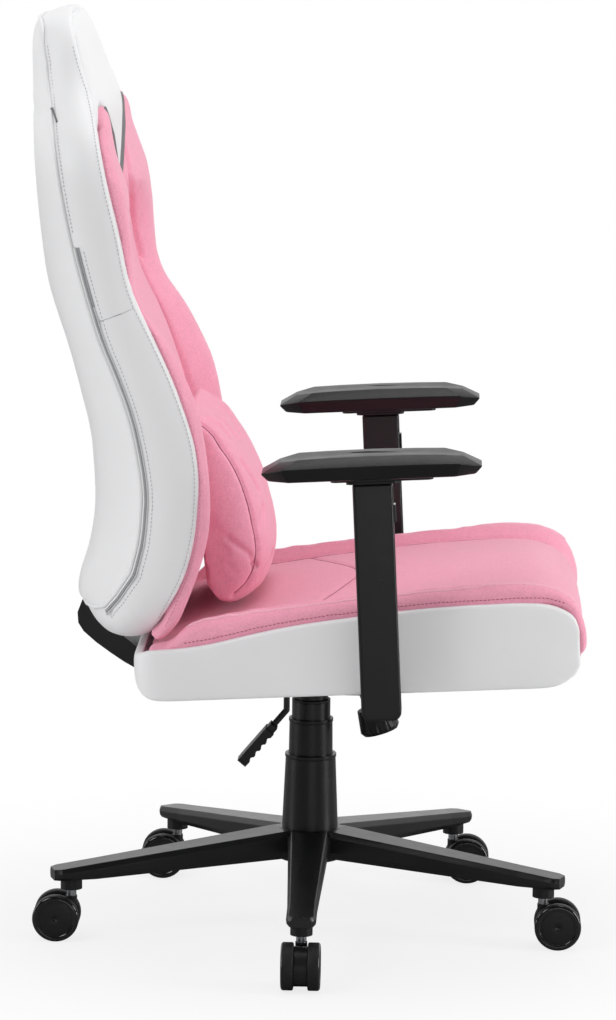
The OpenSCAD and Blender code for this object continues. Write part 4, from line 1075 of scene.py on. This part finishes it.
def make_seat():
    rings = []
    for u in SEAT_US:
        h = seat_slice(u)
        rings.append([seat(u, y, w) for y, w in h] + [seat(u, -y, w) for y, w in h[-2:0:-1]])
    pad = rings_object("seat_pad", rings, "pink")
    inflate(pad, 6.0, cap=4, hold=lambda p: ease((p.z - 372) / 30))
    # the cords in the seat's side and arch seams are dark pink: painted seam shade
    for s, name in SIDES:
        path = [seat(u, s * 206, curve(u, S_CREST) - 15) for u in range(-150, 336, 10)]
        sunk_seam(f"seat_seam_{name}", pad, path, "pink_seam", "seat", FABRIC, 4, 3.5, 0.9)
    arch = [seat(68 - 70 * (abs(y) / 200) ** 1.3, y, 112) for y in range(-200, 201, 8)]
    sunk_seam("seat_seam_arch", pad, arch, "pink_seam", "seat", FABRIC, 3, 2.0, 0.5)
    soft(pad, "seat", FABRIC, 0.8, "seat_cushion")
    side = subdivide(pad_patch("seat_band", band, "white", 7, 90, thick=10, roll=5, tuck=3.5,
                               puff=2.5, out=(60, 0, 400)))
    soft(side, "seat", LEATHER, 0.9, "seat_side_cover")
    for s, name in SIDES:
        # cord along each bolster's crest, in the lighter pink that paints the crest's highlight
        path = [seat(u, s * 236, curve(u, S_CREST) + 8) for u in range(-150, 345, 6)]
        welt, _ = on_surface(pad, path, 4, -0.6)
        ride(tube(f"seat_highlight_welt_{name}", welt, 2.2, "pink_welt"), "seat", FABRIC)
        path = [seat(u, s * 252, curve(u, S_EDGE) + 6) for u in range(-150, 336, 6)]
        seam_stitch(f"seat_edge_stitch_{name}", pad, path, "pink_seam", "seat", FABRIC, r=0.7)


# ---------- armrests and casters


def in_arm(side, x, y, w):
    """Point of an armrest's frame: x ahead of the upright, y outwards, w above the seat's edge."""
    return seat(95.5 + x, side * (310 + y), w)


ARM_TOP = 286.2  # underside of the arm pad
PAD_ROWS = (  # half length, half width, height of the ring, height of its tips, crown
    (125, 38.5, 0, 0, 0),
    (127.5, 41, 1.2, 1.0, 0),
    (134.5, 45.6, 14.2, 8.8, 1.4),
    (135, 46, 15.8, 10.4, 1.8),
    (113, 32.5, 25.2, 22.5, 2.6),
    (110, 31, 25.9, 23.4, 2.6),
    (66, 17, 26.6, 26.2, 2.2),
    (36, 9, 26.9, 26.9, 2.0),
)


def pad_outline(l, h, w, end, crown):
    """Ring of an arm pad: an oblong with cut corners that drops to height end at its two tips."""
    q, c = h * 0.52, l * 0.81
    side = [(l, q), (c, h), (0.5 * l, h), (0, h), (-0.5 * l, h), (-c, h), (-l, q)]
    ring = []
    for x, y in side + [(x, -y) for x, y in side[::-1]]:
        height = mix(w, end, ease((abs(x) / l - 0.81) / 0.19)) + crown * (1 - (x / l) ** 2)
        ring.append((x, y * (1 - 0.06 * x / 135), height))
    return ring


def arm_pad(side, name):
    rings = [[in_arm(side, x, y, ARM_TOP + w) for x, y, w in pad_outline(*row)]
             for row in PAD_ROWS]
    pad = bevel(rings_object(f"arm_rest_pad_{name}", rings, "pad"), 2.2, 3, 13)
    soft(pad, f"arm_pad_{name}_body", "pad_pu", 1.0, f"arm_pad_{name}")


BOX_FACES = [(0, 1, 3, 2), (4, 6, 7, 5), (0, 4, 5, 1), (2, 3, 7, 6), (0, 2, 6, 4), (1, 5, 7, 3)]
ARM_HOLES = (  # opposite corners of the post's bore and of the button's recess
    ((-21.2, -11.4, 95), (21.2, 11.4, 300)),
    ((20, -7.2, 227.8), (26, 7.2, 250.2)),
)


def arm_sleeve(side, name):
    l, t, top, foot, r = 24.75, 15.0, 278.0, -19.0, 11.0
    turns = [k * math.pi / 16 for k in range(9)]
    outline = [(l, top), (-l, top)]
    outline += [(-l + r - r * math.cos(a), foot + r - r * math.sin(a)) for a in turns]
    outline += [(l - r + r * math.sin(a), foot + r - r * math.cos(a)) for a in turns]
    rings = [[in_arm(side, x, y, w) for x, w in outline] for y in (-t, t)]
    sleeve = bevel(rings_object(f"arm_tube_{name}", rings, "cover"), 4.0, 4, 40)
    for hole in ARM_HOLES:
        corners = [in_arm(side, x, y, w) for x, y, w in itertools.product(*zip(*hole))]
        cutter = mesh_object("cutter", corners, BOX_FACES, "cover")
        add_modifier(sleeve, "BOOLEAN", operation="DIFFERENCE", object=cutter, solver="EXACT")
        bake(sleeve)
        bpy.data.objects.remove(cutter)
    shade_smooth(sleeve)
    add_modifier(sleeve, "WEIGHTED_NORMAL", keep_sharp=True)
    bake(sleeve)
    ride(sleeve, "seat", "arm_plastic", f"arm_sleeve_{name}")


def make_arms():
    for side, name in SIDES:
        arm_pad(side, name)
        arm_sleeve(side, name)


def lathe(name, profile, place, steps=72):
    """Turned piece; profile rows are (along, radius, material), place maps (along, a, b)."""
    rings = []
    for k in range(steps):
        a = k * math.tau / steps
        rings.append([place(d, r * math.cos(a), r * math.sin(a)) for d, r, _ in profile])
    mats = list(dict.fromkeys(mat for _, _, mat in profile))
    index = [mats.index(mat) for _, _, mat in profile] * steps
    return rings_object(name, rings, mats, closed=True, index=index)


def wheel(number, side, centre, across, wide):
    """One wheel of a caster, side -1 or 1 along the axle."""
    o = wide - 21.0  # the zones are drawn for a wheel 21 wide
    zones = (
        ("plastic", ((9.2, 5.0), (9.2, 25.5))),
        ("tread", ((8.8, 27.5), (9.4, 29.4), (10.4, 30), (19 + o, 30))),
        ("gloss", ((20.2 + o, 29.5), (21.4 + o, 28.0), (21.9 + o, 26.0), (21.7 + o, 24.2),
                   (20.9 + o, 23.2))),
        ("cap", ((20.6 + o, 22.8), (20.9 + o, 22.2), (21.3 + o, 18), (21.8 + o, 8),
                 (21.9 + o, 0.2))),
        ("plastic", ((14, 0.2),)),
    )
    rows = [(d, r, mat) for mat, points in zones for d, r in points]
    c = Vector(centre)
    ahead = Vector((-across.y, across.x, 0))
    place = "in" if side < 0 else "out"
    return lathe(f"caster_{number}_wheel_{place}", rows,
                 lambda d, a, b: c + across * side * d + ahead * a + Vector((0, 0, b)))


def make_casters():
    for number in range(1, 6):
        lo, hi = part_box(f"caster_{number}_axle")
        centre = (lo + hi) / 2 / MM
        long_x, long_y = hi.x - lo.x, hi.y - lo.y
        across = Vector((1, 0, 0)) if long_x > long_y else Vector((0, 1, 0))
        if abs(long_x - long_y) < 4 * MM:
            across = Vector((1, 1, 0)).normalized()
        wlo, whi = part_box(f"caster_{number}_wheels")
        wide = (whi - wlo).dot(across) / 2 / MM - 1.0
        wheels = [wheel(number, s, centre, across, wide) for s, _ in SIDES]
        pair = join(f"caster_{number}_tyres", wheels)
        shade_smooth(pair)
        ride(pair, f"wheels_{number}", "wheel_plastic", f"caster_{number}_wheels")


# ---------- carried-over solids

DRESS = {  # material: the nodes, or parts of their names
    "steel": ("star_base", "stand_tube", "gas_cylinder", "tilt_housing", "lever_rod",
              "seat_plate", "back_bar", "arm_bracket"),
    "plastic": ("leg_end_sockets", "guide_bush", "lever_grip", "tension_knob", "_hood",
                "arm_post", "arm_slide"),
    "metal": ("thrust_bearing", "piston_rod", "retaining_clip", "pivot_pins", "tilt_spring",
              "seat_bolts", "_stem", "_axle"),
    "cover": ("lower_cover", "middle_cover", "arm_sleeve"),
    "lining": ("seat_pan", "back_frame"),
    "gloss": ("_wheels", "arm_button"),
    "pad": ("arm_pad",),
    "white": ("back_shell", "seat_side_cover"),
}


def dress(name):
    for mat, keys in DRESS.items():
        if any(key in name for key in keys):
            return mat
    return "pink"


def dress_all():
    for name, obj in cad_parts.items():
        mesh = obj.data
        mesh.materials.clear()
        mesh.materials.append(MAT[dress(name)])


dress_all()
make_back()
make_lumbar()
make_seat()
make_arms()
make_casters()
